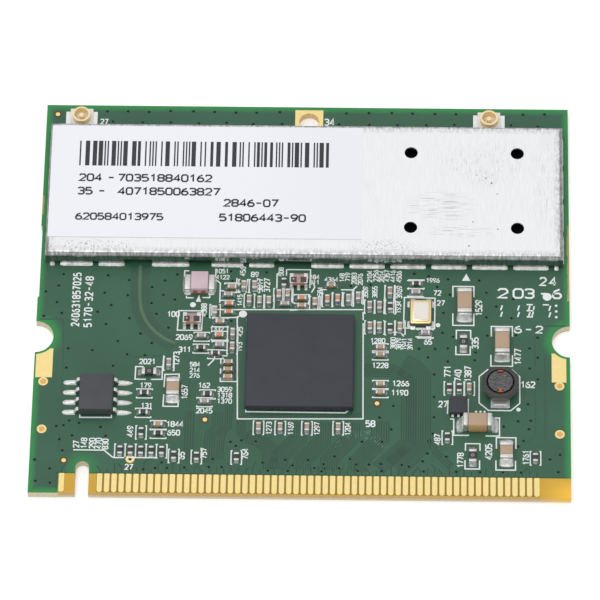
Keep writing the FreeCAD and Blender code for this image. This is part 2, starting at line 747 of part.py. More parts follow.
def bent_strip(points, bend, width, thickness):
    """A flat metal strip folded along points in the XZ plane, its bends eased, centred on Y = 0."""
    route = eased([FreeCAD.Vector(x, 0, z) for x, z in points], bend)
    headings = [(after - here).normalize() for here, after in zip(route, route[1:])]
    headings = [headings[0], *headings, headings[-1]]
    upper, lower = [], []
    for here, before, after in zip(route, headings, headings[1:]):
        middle = (before + after).normalize()
        sideways = middle.cross(FreeCAD.Vector(0, 1, 0)) * (thickness / 2 / middle.dot(after))
        upper.append(here + sideways)
        lower.append(here - sideways)
    outline = upper + lower[::-1]
    outline = [corner - FreeCAD.Vector(0, width / 2, 0) for corner in outline]
    return Part.Face(Part.makePolygon(outline + outline[:1])).extrude(FreeCAD.Vector(0, width, 0))


def make_processor():
    side, height = "processor_side", "processor_height"
    y = f"{FRONT} + processor_from_edge"
    mould = add_body("mould")
    floor = f"{TOP} + processor_standoff"
    footprint = sketch_on(mould, "mould_footprint", "XY_Plane", "processor_x", y, floor)
    draw_rectangle(footprint, side, side)
    block = pad(mould, footprint, height)
    document.recompute()
    top = size("board_thickness") + size("processor_standoff") + size("processor_height")
    rim = mould.newObject("PartDesign::Chamfer", "mould_rim")
    rim.Base = (block, edges_where(block.Shape, lambda edge: at_height(edge, top)))
    bind(rim, "Size", "processor_chamfer")
    mould.Tip = rim
    node("processor_body", mould)
    land = box("processor_land", "processor_land_width", "processor_land_length", "processor_standoff", "0",
               f"-({side} - processor_land_length) / 2", "0")
    slug = box("processor_slug", "processor_slug_side", "processor_slug_side", "processor_standoff",
               "0", "0", "0")
    document.recompute()
    count, pitch = int(size("processor_land_count")), size("processor_land_pitch")
    here = stand(size("processor_x"), size("processor_from_edge"), 0)
    stands = []
    for turn in range(4):
        for step in range(count):
            along = shift((step - (count - 1) / 2) * pitch)
            stands.append(here.multiply(turned(90 * turn)).multiply(along))
    scatter("processor_lands", copies([slug], [here]) + copies([land], stands))


def make_memory_chip():
    """An eight leaded chip: a mould drafted both ways from its parting line, and bent leads."""
    y = f"{FRONT} + memory_from_edge"
    mould = add_body("memory_mould")
    parting = f"{TOP} + memory_standoff + memory_parting"
    upper = sketch_on(mould, "memory_upper", "XY_Plane", "memory_x", y, parting)
    draw_rectangle(upper, "memory_width", "memory_length")
    pad(mould, upper, "memory_height - memory_parting", taper="memory_draft")
    lower = sketch_on(mould, "memory_lower", "XY_Plane", "memory_x", y, parting)
    draw_rectangle(lower, "memory_width", "memory_length")
    pad(mould, lower, "memory_parting", taper="memory_draft", reverse=True)
    node("memory_chip_body", mould)
    thickness, foot = size("memory_lead_thickness"), size("memory_foot")
    body_side, tip = size("memory_width") / 2, size("memory_lead_span") / 2
    level = size("memory_standoff") + size("memory_parting")
    bend = size("memory_lead_bend")
    knee, heel = body_side + bend + thickness / 2, tip - foot
    lead = bent_strip([(body_side, level), (knee, level), (heel, thickness / 2), (tip, thickness / 2)],
                      bend, size("memory_lead_width"), thickness)
    leads = []
    for place in memory_lead_stands():
        leads.append(lead.transformed(place.Matrix))
    scatter("memory_chip_leads", leads)


def memory_lead_stands():
    """Where each lead starts, in two rows that face away from each other."""
    count = int(size("memory_leads_a_side"))
    here = stand(size("memory_x"), size("memory_from_edge"), 0)
    rows = [shift(0, (step - (count - 1) / 2) * size("memory_pitch")) for step in range(count)]
    return [here.multiply(along).multiply(turned(turn)) for turn in (0, 180) for along in rows]


def make_regulator():
    y = f"{FRONT} + regulator_from_edge"
    mould = add_body("regulator_mould")
    floor = f"{TOP} + regulator_standoff"
    footprint = sketch_on(mould, "regulator_footprint", "XY_Plane", "regulator_x", y, floor)
    draw_rectangle(footprint, "regulator_width", "regulator_length")
    pad(mould, footprint, "regulator_height")
    node("regulator_body", mould)
    thickness, level = size("regulator_lead_thickness"), size("regulator_lead_height")
    body_side, reach = size("regulator_length") / 2, size("regulator_lead_reach")
    outer = body_side + reach - thickness / 2
    lead = bent_strip([(body_side, level), (outer, level), (outer, 0)], size("regulator_lead_bend"),
                      size("regulator_lead_width"), thickness)
    here = stand(size("regulator_x"), size("regulator_from_edge"), 1)
    count = int(size("regulator_leads_a_side"))
    leads = []
    for turn in (0, 180):
        for step in range(count):
            along = shift(0, (step - (count - 1) / 2) * size("regulator_pitch"))
            place = here.multiply(turned(turn)).multiply(along)
            leads.append(lead.transformed(place.Matrix))
    scatter("regulator_leads", leads)


def make_inductor():
    """A shielded coil: an octagonal ferrite ring round a drum, its winding and two end plates."""
    y = f"{FRONT} + inductor_from_edge"
    floor = f"{TOP} + inductor_terminal_thickness"
    height = "inductor_height - inductor_terminal_thickness"
    ring = add_body("ring")
    square = sketch_on(ring, "ring_square", "XY_Plane", "inductor_x", y, floor)
    draw_rectangle(square, "inductor_side", "inductor_side")
    block = pad(ring, square, height)
    document.recompute()
    corners = ring.newObject("PartDesign::Chamfer", "ring_corners")
    corners.Base = (block, edges_where(block.Shape, upright))
    bind(corners, "Size", "inductor_corner")
    ring.Tip = corners
    bore = sketch_on(ring, "ring_bore", "XY_Plane", "inductor_x", y, f"{floor} + {height}")
    draw_circle(bore, "inductor_bore")
    hole = pocket(ring, bore, "inductor_height")
    document.recompute()
    top = size("board_thickness") + size("inductor_height")
    rim = ring.newObject("PartDesign::Chamfer", "ring_rim")
    straight = "Part::GeomLine"
    outer = edges_where(hole.Shape, lambda edge: at_height(edge, top) and edge.Curve.TypeId == straight)
    rim.Base = (hole, outer)
    bind(rim, "Size", "inductor_rim_chamfer")
    ring.Tip = rim
    node("inductor_ring", ring)
    drum = "inductor_x", y
    flange = cylinder("drum_lower_flange", "drum_flange_radius", "drum_flange_height", *drum, floor)
    hub = cylinder("drum_hub", "drum_hub_radius", height, *drum, floor)
    cap_floor = f"{floor} + {height} - drum_flange_height"
    cap = cylinder("drum_upper_flange", "drum_flange_radius", "drum_flange_height", *drum, cap_floor)
    core = document.addObject("Part::MultiFuse", "drum_core")
    core.Shapes = [flange, hub, cap]
    notches = []
    for end, sign in (("front", "-"), ("back", "+")):
        notches.append(box(f"drum_{end}_notch", "drum_notch_width", "drum_notch_width",
                           "drum_flange_height", "inductor_x", f"{y} {sign} drum_flange_radius",
                           cap_floor))
    node("inductor_drum", cut("drum", core, group("drum_notches", notches)))
    coil_height = f"{height} - 2 * drum_flange_height"
    coil_floor = f"{floor} + drum_flange_height"
    coil = cylinder("coil_outside", "drum_flange_radius - winding_clearance", coil_height, *drum,
                    coil_floor)
    coil_bore = cylinder("coil_inside", "drum_hub_radius + hub_clearance", coil_height, *drum,
                         coil_floor)
    node("inductor_winding", cut("coil", coil, coil_bore))
    plate_length = "inductor_side / 2 - drum_hub_radius + inductor_terminal_reach"
    plates = []
    for end, sign in (("front", "-"), ("back", "+")):
        plate_y = f"{y} {sign} (drum_hub_radius + ({plate_length}) / 2)"
        plates.append(box(f"{end}_plate", "inductor_terminal_width", plate_length,
                          "inductor_terminal_thickness", "inductor_x", plate_y, TOP))
    node("inductor_terminals", group("plates", plates))


def make_crystal():
    """A ceramic base, its gold rim and the metal lid sealed on it."""
    y = f"{FRONT} + crystal_from_edge"
    layers = {
        "crystal_base": ("0", "crystal_base_height", TOP),
        "crystal_rim": ("crystal_rim_inset", "crystal_rim_height", f"{TOP} + crystal_base_height"),
        "crystal_lid": ("crystal_lid_inset", "crystal_lid_height",
                        f"{TOP} + crystal_base_height + crystal_rim_height"),
    }
    for label, (inset, height, floor) in layers.items():
        plate = add_body(f"{label}_plate")
        footprint = sketch_on(plate, f"{label}_footprint", "XY_Plane", "crystal_x", y, floor)
        draw_rectangle(footprint, f"crystal_width - 2 * {inset}", f"crystal_length - 2 * {inset}")
        block = pad(plate, footprint, height)
        document.recompute()
        corners = plate.newObject("PartDesign::Chamfer", f"{label}_corners")
        corners.Base = (block, edges_where(block.Shape, upright))
        bind(corners, "Size", "crystal_corner")
        plate.Tip = corners
        node(label, plate)


def make_socket(side):
    """A coaxial aerial socket: moulded base, two ground terminals, shell ring with a snap groove,
    and centre pin."""
    x, y = f"socket_x_{side}", BACK_ROW
    floor = f"{TOP} + socket_base_height"
    node(f"{side}_socket_base", box(f"{side}_moulding", "socket_base_side", "socket_base_side",
                                    "socket_base_height", x, y, TOP))
    tabs = []
    for name, sign in (("outer", "-"), ("inner", "+")):
        tab_x = f"{x} {sign} (socket_base_side + socket_terminal_reach) / 2"
        tabs.append(box(f"{side}_{name}_tab", "socket_terminal_reach", "socket_terminal_length",
                        "socket_terminal_height", tab_x, y, TOP))
    node(f"{side}_socket_terminals", group(f"{side}_tabs", tabs))
    waist = "socket_shell_radius - socket_groove_depth"
    groove_floor = f"{floor} + socket_groove_from_base"
    groove_top = f"{groove_floor} + socket_groove_height"
    collar_height = "socket_height - socket_base_height - socket_groove_from_base - socket_groove_height"
    skin = document.addObject("Part::MultiFuse", f"{side}_skin")
    skin.Shapes = [
        cylinder(f"{side}_skirt", "socket_shell_radius", "socket_groove_from_base", x, y, floor),
        cone(f"{side}_groove_below", "socket_shell_radius", waist, "socket_groove_height / 2", x, y,
             groove_floor),
        cone(f"{side}_groove_above", waist, "socket_shell_radius", "socket_groove_height / 2", x, y,
             f"{groove_floor} + socket_groove_height / 2"),
        cylinder(f"{side}_collar", "socket_shell_radius", collar_height, x, y, groove_top),
    ]
    bore = cylinder(f"{side}_bore", "socket_shell_radius - socket_shell_wall",
                    "socket_height - socket_base_height", x, y, floor)
    node(f"{side}_socket_shell", cut(f"{side}_shell", skin, bore))
    node(f"{side}_socket_pin", cylinder(f"{side}_pin", "socket_pin_radius",
                                        "socket_pin_height - socket_base_height", x, y, floor))


def make_radio_filter():
    """A ceramic filter block between two side terminals."""
    y = f"{FRONT} + filter_from_edge"
    node("radio_filter_body", box("filter_block", "filter_width", "filter_length", "filter_height",
                                  "filter_x", y, TOP))
    tabs = []
    for name, sign in (("left", "-"), ("right", "+")):
        tab_x = f"filter_x {sign} (filter_width + filter_terminal_reach) / 2"
        tabs.append(box(f"filter_{name}_tab", "filter_terminal_reach", "filter_terminal_length",
                        "filter_terminal_height", tab_x, y, TOP))
    node("radio_filter_terminals", group("filter_tabs", tabs))


def make_chips():
    """Every leadless chip part, copied from one template of each kind, and the solder of the
    larger ones."""
    small = "chip_length", "chip_width"
    medium = "medium_chip_length", "medium_chip_width"
    large = "large_chip_length", "large_chip_width"
    tank = "tank_chip_length", "tank_chip_width"
    kinds = {
        "small_capacitor": (*small, "chip_capacitor_height", "chip_end"),
        "small_resistor": (*small, "chip_resistor_height", "chip_end"),
        "small_coil": (*small, "chip_coil_height", "chip_end"),
        "medium_resistor": (*medium, "medium_resistor_height", "medium_chip_end", "medium_solder_reach"),
        "medium_capacitor": (*medium, "medium_capacitor_height", "medium_chip_end", "chip_solder_reach"),
        "large_capacitor": (*large, "large_chip_height", "large_chip_end", "large_solder_reach"),
        "tank_capacitor": (*tank, "tank_chip_height", "tank_chip_end", "large_solder_reach"),
        "tall_tank": (*tank, "tall_tank_height", "tank_chip_end", "large_solder_reach"),
        "transformer": ("transformer_width", "transformer_depth", "transformer_height",
                        "transformer_end", "chip_solder_reach"),
    }
    templates = {name: chip_template(name, *sizes) for name, sizes in kinds.items()}
    document.recompute()
    row = [(RESISTOR_ROW["first"] + RESISTOR_ROW["pitch"] * step, RESISTOR_ROW["from_edge"], ACROSS)
           for step in range(RESISTOR_ROW["count"])]
    stack = [(CAPACITOR_STACK["x"], CAPACITOR_STACK["first"] + CAPACITOR_STACK["pitch"] * step, ALONG)
             for step in range(CAPACITOR_STACK["count"])]
    groups = {
        "small_capacitor": ("small_capacitor", SMALL_CAPACITORS),
        "small_resistor": ("small_resistor", SMALL_RESISTORS + row),
        "small_coil": ("small_coil", SMALL_COILS),
        "medium_resistor": ("medium_resistor", MEDIUM_RESISTORS),
        "medium_capacitor": ("medium_capacitor", stack),
        "transformer": ("transformer", TRANSFORMERS),
        "tall_tank_capacitor": ("tall_tank", [TALL_TANK]),
    }
    groups.update({label: ("large_capacitor", [place]) for label, place in LARGE_CAPACITORS.items()})
    groups.update({label: ("tank_capacitor", [place]) for label, place in TANK_CAPACITORS.items()})
    solder = []
    for label, (kind, places) in groups.items():
        stands = [stand(*place) for place in places]
        plural = "ies" if len(places) > 1 else "y"
        scatter(f"{label}_bod{plural}", copies(templates[kind]["middle"], stands))
        scatter(f"{label}_ends", copies(templates[kind]["ends"], stands))
        solder += copies(templates[kind]["solder"], stands)
    make_inner_parts(templates)
    scatter("solder_joints", solder + memory_solder() + crystal_solder())


def memory_solder():
    """The solder that runs out beyond each lead's toe."""
    toe = wedge("memory_toe", "memory_solder_reach", "memory_lead_width", "memory_lead_thickness",
                "memory_lead_span / 2", "0", "0", -90)
    document.recompute()
    return copies([toe], memory_lead_stands())


def crystal_solder():
    """Solder at the four corner lands of the crystal."""
    aside = "((crystal_width - crystal_land_width) / 2 - crystal_corner)"
    lands = [wedge(f"crystal_{side}_land", "crystal_land_reach", "crystal_land_width",
                   "crystal_base_height / 2", f"{sign}{aside}", "crystal_length / 2", "0", 0)
             for side, sign in (("left", "-"), ("right", ""))]
    document.recompute()
    stands = [stand(size("crystal_x"), size("crystal_from_edge"), turns) for turns in (0, 2)]
    return copies(lands, stands)


def make_inner_parts(templates):
    """What the can covers: two power amplifiers, aerial switches, filters and capacitors."""
    front = size("shield_from_edge") + size("sheet_thickness")
    back = size("board_depth") - size("shield_back_gap") - size("sheet_thickness")
    amplifier = box("amplifier_block", "amplifier_side", "amplifier_side", "amplifier_height",
                    "0", "0", "0")
    switch = box("switch_block", "switch_side", "switch_side", "switch_height", "0", "0", "0")
    document.recompute()

    def inside(places, depth, turns=ALONG):
        room = back - front - depth
        return [stand(x, (front + back + share * room) / 2, turns) for x, share in places]

    filter_pieces = templates["transformer"]["middle"] + templates["transformer"]["ends"]
    filters = inside(INNER_FILTERS, size("transformer_depth"))
    capacitors = inside(INNER_CAPACITORS, size("chip_length"), ACROSS)
    scatter("power_amplifiers", copies([amplifier], inside(AMPLIFIERS, size("amplifier_side"))))
    scatter("aerial_switches", copies([switch], inside(AERIAL_SWITCHES, size("switch_side"))))
    scatter("inner_filters", copies(filter_pieces, filters))
    scatter("inner_capacitor_bodies", copies(templates["small_capacitor"]["middle"], capacitors))
    scatter("inner_capacitor_ends", copies(templates["small_capacitor"]["ends"], capacitors))


make_board()
make_contacts("top", f"{TOP} - copper_thickness")
make_contacts("bottom", "0")
make_side_pads()
make_screw_pads()
make_shield()
make_shield_solder()
make_label()
make_processor()
make_memory_chip()
make_regulator()
make_inductor()
make_crystal()
make_socket("left")
make_socket("right")
make_radio_filter()
make_chips()

document.recompute()
for thing in document.Objects:
    if "Invalid" in thing.State or "Error" in thing.State:
        raise RuntimeError(f"{thing.Name} failed to build: {thing.State}")
for label, thing in nodes.items():
    if thing.Shape.isNull() or not thing.Shape.isValid() or not thing.Shape.Solids:
        raise RuntimeError(f"{label} has no valid solid")
os.makedirs("parts", exist_ok=True)
for label, thing in nodes.items():
    thing.Shape.exportStep(f"parts/{label}.step")
print(f"{len(nodes)} sub-parts written")
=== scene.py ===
import json
import math
import random

import bmesh
import bpy
from mathutils import Matrix, Vector

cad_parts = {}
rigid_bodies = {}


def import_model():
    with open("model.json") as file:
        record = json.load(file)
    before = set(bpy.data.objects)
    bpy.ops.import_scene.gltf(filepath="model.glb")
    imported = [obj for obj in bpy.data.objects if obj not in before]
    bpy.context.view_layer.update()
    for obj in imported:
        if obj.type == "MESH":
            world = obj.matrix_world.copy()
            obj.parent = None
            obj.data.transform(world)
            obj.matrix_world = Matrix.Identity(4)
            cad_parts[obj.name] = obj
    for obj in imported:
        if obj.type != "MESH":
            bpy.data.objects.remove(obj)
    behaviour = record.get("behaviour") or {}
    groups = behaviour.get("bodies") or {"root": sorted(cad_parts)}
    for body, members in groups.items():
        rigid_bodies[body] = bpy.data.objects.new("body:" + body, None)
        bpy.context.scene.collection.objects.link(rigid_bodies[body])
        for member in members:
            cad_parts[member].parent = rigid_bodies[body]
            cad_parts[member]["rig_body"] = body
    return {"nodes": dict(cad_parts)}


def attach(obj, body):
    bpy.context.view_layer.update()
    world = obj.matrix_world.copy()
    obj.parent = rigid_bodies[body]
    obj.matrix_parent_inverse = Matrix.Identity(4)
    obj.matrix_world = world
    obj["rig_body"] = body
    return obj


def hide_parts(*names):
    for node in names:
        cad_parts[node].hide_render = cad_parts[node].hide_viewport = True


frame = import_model()
nodes = frame["nodes"]
for stray in [o for o in bpy.data.objects if "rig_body" not in o and o.type in ("MESH", "LIGHT", "CAMERA")]:
    bpy.data.objects.remove(stray)
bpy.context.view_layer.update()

mm = 0.001
boardTop = 1.0  # mm, the face that carries the parts
print("frame:", len(nodes), "nodes")


# shader tools: Wire is a socket that takes + - * /, Graph builds one material

class Wire:
    def __init__(self, graph, socket):
        self.graph, self.socket = graph, socket

    def math(self, operation, *others):
        return self.graph.math(operation, self, *others)

    def __add__(self, other):
        return self.math("ADD", other)

    __radd__ = __add__

    def __sub__(self, other):
        return self.math("SUBTRACT", other)

    def __rsub__(self, other):
        return self.graph.math("SUBTRACT", other, self)

    def __mul__(self, other):
        return self.math("MULTIPLY", other)

    __rmul__ = __mul__

    def __truediv__(self, other):
        return self.math("DIVIDE", other)

    def __rtruediv__(self, other):
        return self.graph.math("DIVIDE", other, self)

    def __abs__(self):
        return self.math("ABSOLUTE")

    def __gt__(self, other):
        return self.math("GREATER_THAN", other)

    def __lt__(self, other):
        return self.math("LESS_THAN", other)


class Graph:
    def __init__(self, name):
        self.material = bpy.data.materials.new(name)
        self.material.use_nodes = True
        self.tree = self.material.node_tree
        self.tree.nodes.clear()

    def node(self, kind, settings=None, inputs=None, output=0):
        made = self.tree.nodes.new(kind)
        for key, value in (settings or {}).items():
            if key == "stops":
                ends = made.color_ramp.elements
                ends[0].position, ends[0].color = value[0]
                ends[1].position, ends[1].color = value[-1]
                for place, colour in value[1:-1]:
                    ends.new(place).color = colour
            else:
                setattr(made, key, value)
        for key, value in (inputs or {}).items():
            if isinstance(value, Wire):
                self.tree.links.new(value.socket, made.inputs[key])
            else:
                made.inputs[key].default_value = value
        return Wire(self, made.outputs[output]) if made.outputs else None

    def math(self, operation, *values):
        return self.node("ShaderNodeMath", {"operation": operation}, dict(enumerate(values)))

    def mix(self, factor, first, second, blend="MIX"):
        settings = {"data_type": "RGBA", "blend_type": blend}
        sockets = {0: factor, 6: opaque(first), 7: opaque(second)}
        return self.node("ShaderNodeMix", settings, sockets, 2)

    def place(self):  # the object's own coordinates, in mm
        found = self.node("ShaderNodeTexCoord", output="Object")
        return self.node("ShaderNodeVectorMath", {"operation": "SCALE"}, {0: found, "Scale": 1 / mm})

    def axes(self, vector):
        return [self.node("ShaderNodeSeparateXYZ", inputs={0: vector}, output=axis) for axis in "XYZ"]

    def noise(self, vector, scale, detail=2.0, rough=0.5, stretch=None):
        if stretch:
            multiply = {"operation": "MULTIPLY"}
            vector = self.node("ShaderNodeVectorMath", multiply, {0: vector, 1: stretch})
        inputs = {"Vector": vector, "Scale": scale, "Detail": detail, "Roughness": rough}
        return self.node("ShaderNodeTexNoise", inputs=inputs)

    def ramp(self, value, low, high):  # 0 below low, 1 above high
        return self.node("ShaderNodeMapRange", inputs={0: value, 1: low, 2: high, 3: 0.0, 4: 1.0})

    def bump(self, height, distance, strength):
        inputs = {"Height": height, "Distance": distance * mm, "Strength": strength}
        return self.node("ShaderNodeBump", inputs=inputs)

    def finish(self, **sockets):
        inputs = {socketNames[key]: opaque(value) for key, value in sockets.items()}
        shader = self.node("ShaderNodeBsdfPrincipled", inputs=inputs)
        self.node("ShaderNodeOutputMaterial", inputs={"Surface": shader})
        return self.material


socketNames = {
    "colour": "Base Color", "roughness": "Roughness", "metallic": "Metallic", "normal": "Normal",
    "specular": "Specular IOR Level", "glow": "Emission Color", "glowStrength": "Emission Strength",
}


def opaque(value):
    return (*value, 1.0) if isinstance(value, tuple) and len(value) == 3 else value


def toned(colour, share):  # the same colour, lighter or darker
    return tuple(v * share for v in colour)


# mesh tools

liftStep = 0.0012  # mm between the heights of lines that may cross
softening = {"weld": 1e-7, "flat": 0.02, "sharp": 0.5, "shadeSharp": 0.6}  # m, then angles in radians


def addPiece(name, mesh, material, standsFor=(), smooth=False):
    piece = bpy.data.objects.new(name, mesh)
    bpy.context.scene.collection.objects.link(piece)
    for one in material if isinstance(material, list) else [material]:
        mesh.materials.append(one)
    for face in mesh.polygons:
        face.use_smooth = smooth
    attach(piece, "root")
    if standsFor:
        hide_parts(*standsFor)
    return piece


def leftOf(direction):
    return Vector((-direction.y, direction.x))


def around(x, y, radius, sides):  # points on a circle
    turn = 2 * math.pi / sides
    return [(x + radius * math.cos(i * turn), y + radius * math.sin(i * turn)) for i in range(sides)]


def gridFaces(rows, columns, flipped=False):  # faces of a grid of points, row by row
    corners = [i * columns + j for i in range(rows - 1) for j in range(columns - 1)]
    faces = [(at, at + 1, at + columns + 1, at + columns) for at in corners]
    return [tuple(reversed(face)) for face in faces] if flipped else faces


def ringFaces(rings, sides):  # faces between closed rings of points
    faces = []
    for first in range(0, (rings - 1) * sides, sides):
        pairs = [(i, (i + 1) % sides) for i in range(sides)]
        faces += [(first + i, first + j, first + sides + j, first + sides + i) for i, j in pairs]
    return faces


class Shape:  # gathers points in mm and faces with a material number, then makes one mesh
    def __init__(self, lifts=9):
        self.points, self.faces, self.numbers = [], [], []
        self.lift, self.lifts = 0, lifts

    def add(self, points, faces, number=0):
        first = len(self.points)
        self.points += [tuple(p) for p in points]
        self.faces += [tuple(first + i for i in face) for face in faces]
        self.numbers += [number] * len(faces)

    def slab(self, outline, low, high, number=0, floor=False):  # a flat plate with upright sides
        count = len(outline)
        points = [(x, y, low) for x, y in outline] + [(x, y, high) for x, y in outline]
        faces = [tuple(range(count, 2 * count))] + ringFaces(2, count)
        if floor:
            faces.append(tuple(reversed(range(count))))
        self.add(points, faces, number)

    def block(self, x, y, z, number=0):  # an upright block between two x, two y and two z
        outline = [(x[0], y[0]), (x[1], y[0]), (x[1], y[1]), (x[0], y[1])]
        self.slab(outline, *z, number, floor=True)

    def disc(self, x, y, radius, low, high, sides, number=0):
        self.slab(around(x, y, radius, sides), low, high, number)

    def stroke(self, line, width, low, high, number=0):  # a line of flat print, mitred at its corners
        # crossing lines lie at slightly different heights, so their faces never coincide
        self.lift = (self.lift + 1) % self.lifts
        high += self.lift * liftStep
        closed = line[0] == line[-1]
        points = [Vector(p) for p in (line[:-1] if closed else line)]
        count, left, right = len(points), [], []
        for i, here in enumerate(points):
            before = points[i - 1] if closed or i else here
            after = points[(i + 1) % count] if closed or i < count - 1 else here
            arms = [v.normalized() for v in (here - before, after - here) if v.length > 1e-6]
            across = leftOf(sum(arms, Vector((0, 0))).normalized())
            spread = width / 2 / max(0.5, abs(leftOf(arms[0]).dot(across)))
            left.append(here + across * spread)
            right.append(here - across * spread)
        for i in range(count if closed else count - 1):
            j = (i + 1) % count
            self.slab([right[i], right[j], left[j], left[i]], low, high, number)

    def mesh(self, name):
        made = bpy.data.meshes.new(name)
        made.from_pydata([tuple(v * mm for v in p) for p in self.points], [], self.faces)
        for face, number in zip(made.polygons, self.numbers):
            face.material_index = number
        tint = made.attributes.new("tint", "FLOAT", "FACE")
        tint.data.foreach_set("value", [0.5] * len(self.faces))  # the middle of a ceramic's colours
        return made

    def piece(self, name, material, slotName, standsFor=(), smooth=False):
        return addPiece(name, self.mesh(name), material, standsFor, smooth)


def islands(name):  # the separate solids of a CAD node, each as (lowest, highest) corner in mm
    shape = bmesh.new()
    shape.from_mesh(nodes[name].data)
    bmesh.ops.remove_doubles(shape, verts=shape.verts, dist=softening["weld"])
    left, found = set(shape.verts), []
    while left:
        group, todo = set(), [next(iter(left))]
        while todo:
            vert = todo.pop()
            if vert not in group:
                group.add(vert)
                todo += [edge.other_vert(vert) for edge in vert.link_edges]
        left -= group
        corners = [[v.co[k] / mm for v in group] for k in range(3)]
        found.append((Vector(map(min, corners)), Vector(map(max, corners))))
    shape.free()
    return sorted(found, key=lambda box: (round(box[0].y, 2), round(box[0].x, 2)))


def softened(name, node, material, slotName, radius, tintOf=None):  # a CAD node with its edges rounded
    shape = bmesh.new()
    shape.from_mesh(nodes[node].data)
    bmesh.ops.remove_doubles(shape, verts=shape.verts, dist=softening["weld"])
    bmesh.ops.dissolve_limit(shape, angle_limit=softening["flat"], verts=shape.verts, edges=shape.edges)
    folds = [edge for edge in shape.edges if len(edge.link_faces) == 2]
    sharp = [edge for edge in folds if edge.calc_face_angle(0) > softening["sharp"]]
    bmesh.ops.bevel(shape, geom=sharp, offset=radius * mm, segments=2, profile=0.5, affect="EDGES",
                    clamp_overlap=True)
    mesh = bpy.data.meshes.new(name)
    shape.to_mesh(mesh)
    shape.free()
    tint = mesh.attributes.new("tint", "FLOAT", "FACE")
    if tintOf:
        tint.data.foreach_set("value", [tintOf(face) for face in mesh.polygons])
    piece = addPiece(name, mesh, material, (node,), smooth=True)
    mesh.set_sharp_from_angle(angle=softening["shadeSharp"])
    return piece


# camera, light and floor

cameraSettings = {
    "azimuth": 2.075, "elevation": 58.622, "roll": -1.193,  # degrees
    "distance": 593.58, "lens": 317.6, "aim": (-0.382, -0.076, 0.5),  # mm
}
studioSettings = {
    "world": (0.96, 0.98, 1.0), "worldStrength": 0.74,
    # name, place in m, size in m, brightness of its face
    "lights": [("overhead", (0.0, 0.36, 0.56), 0.62, 0.25), ("top", (-0.18, -0.12, 0.8), 0.5, 2.2)],
    "floor": (0.84, 0.84, 0.84), "floorGlow": 0.3, "floorPlate": (1500, -2, -0.03),  # half width, low, high
}


def setCamera(settings):
    azimuth, elevation, roll = (math.radians(settings[k]) for k in ("azimuth", "elevation", "roll"))
    level = Vector((math.cos(azimuth), math.sin(azimuth), 0))
    ground = math.cos(elevation)
    back = Vector((math.sin(azimuth) * ground, -math.cos(azimuth) * ground, math.sin(elevation)))
    upright = back.cross(level)
    right = math.cos(roll) * level + math.sin(roll) * upright
    up = -math.sin(roll) * level + math.cos(roll) * upright
    camera = bpy.data.objects.new("camera", bpy.data.cameras.new("camera"))
    camera.data.lens, camera.data.sensor_width = settings["lens"], 36
    camera.data.clip_start, camera.data.clip_end = 0.01, 10
    turn = Matrix((right, up, back)).transposed().to_4x4()
    spot = (Vector(settings["aim"]) + back * settings["distance"]) * mm
    camera.matrix_world = Matrix.Translation(spot) @ turn
    bpy.context.scene.collection.objects.link(camera)
    bpy.context.scene.camera = camera


def addLight(name, place, size, brightness):
    light = bpy.data.objects.new(name, bpy.data.lights.new(name, "AREA"))
    light.data.shape, light.data.size = "SQUARE", size
    light.data.energy = brightness * math.pi * size * size
    light.location = place
    light.rotation_mode = "QUATERNION"
    light.rotation_quaternion = (-Vector(place)).to_track_quat("-Z", "Y")
    bpy.context.scene.collection.objects.link(light)


def setStudio(settings):
    world = bpy.data.worlds.new("studio")
    world.use_nodes = True
    sky = world.node_tree.nodes["Background"]
    sky.inputs["Color"].default_value = (*settings["world"], 1)
    sky.inputs["Strength"].default_value = settings["worldStrength"]
    bpy.context.scene.world = world
    bpy.context.scene.view_settings.view_transform = "Standard"
    for light in settings["lights"]:
        addLight(*light)
    half, low, high = settings["floorPlate"]
    plate = Shape()
    plate.slab([(-half, -half), (half, -half), (half, half), (-half, half)], low, high)
    floor = bpy.data.objects.new("floor", plate.mesh("floor"))
    bpy.context.scene.collection.objects.link(floor)
    g = Graph("floorPaper")
    white = g.mix(g.noise(g.place(), 0.01, 1.0), settings["floor"], toned(settings["floor"], 0.98))
    strength = settings["floorGlow"]
    paper = g.finish(colour=white, roughness=0.9, glow=(1.0, 1.0, 1.0), glowStrength=strength)
    floor.data.materials.append(paper)


setCamera(cameraSettings)
setStudio(studioSettings)
print("camera, light and floor")


# board

boardFinish = {
    "maskOverCopper": (0.030, 0.100, 0.055), "maskOverLaminate": (0.022, 0.245, 0.060),
    "bareLaminate": (0.66, 0.38, 0.035), "brightLaminate": (0.96, 0.55, 0.045),
    "cutEdge": (0.84, 0.72, 0.50), "stripEdge": (0.66, 0.47, 0.20), "betweenFingers": (0.20, 0.13, 0.035),
    "tornColour": (0.38, 0.34, 0.10), "scuffTone": (0.30, 0.42, 0.38), "paintedShade": (0.010, 0.013, 0.011),
    # places in mm
    "halfWidth": 29.8, "halfDepth": 25.475, "notch": (29.8, -5.475, 2.0), "key": (-23.92, 0.75, -22.15),
    "edgeBand": (0.25, 0.85), "keyBand": 1.5,  # from an edge or the key slot to the copper planes
    "stripTop": -22.95, "stripLeft": -26.5, "fingerRow": (2.0, 24.3), "fingerEnd": -25.3,
    "rightEnd": (26.4, 29.8), "rightFront": (26.0, 28.5), "cutHeights": (0.06, 0.94),
    "tornEdge": (-0.2, 9.7), "scar": (10.6, 13.2), "scuff": (6.6, -20.4, 2.74),
    # painted shade under the shield can: the board there is darkened as if in its shadow
    "underCan": (28.4, 4.9, 21.2),  # half width, front and back
}


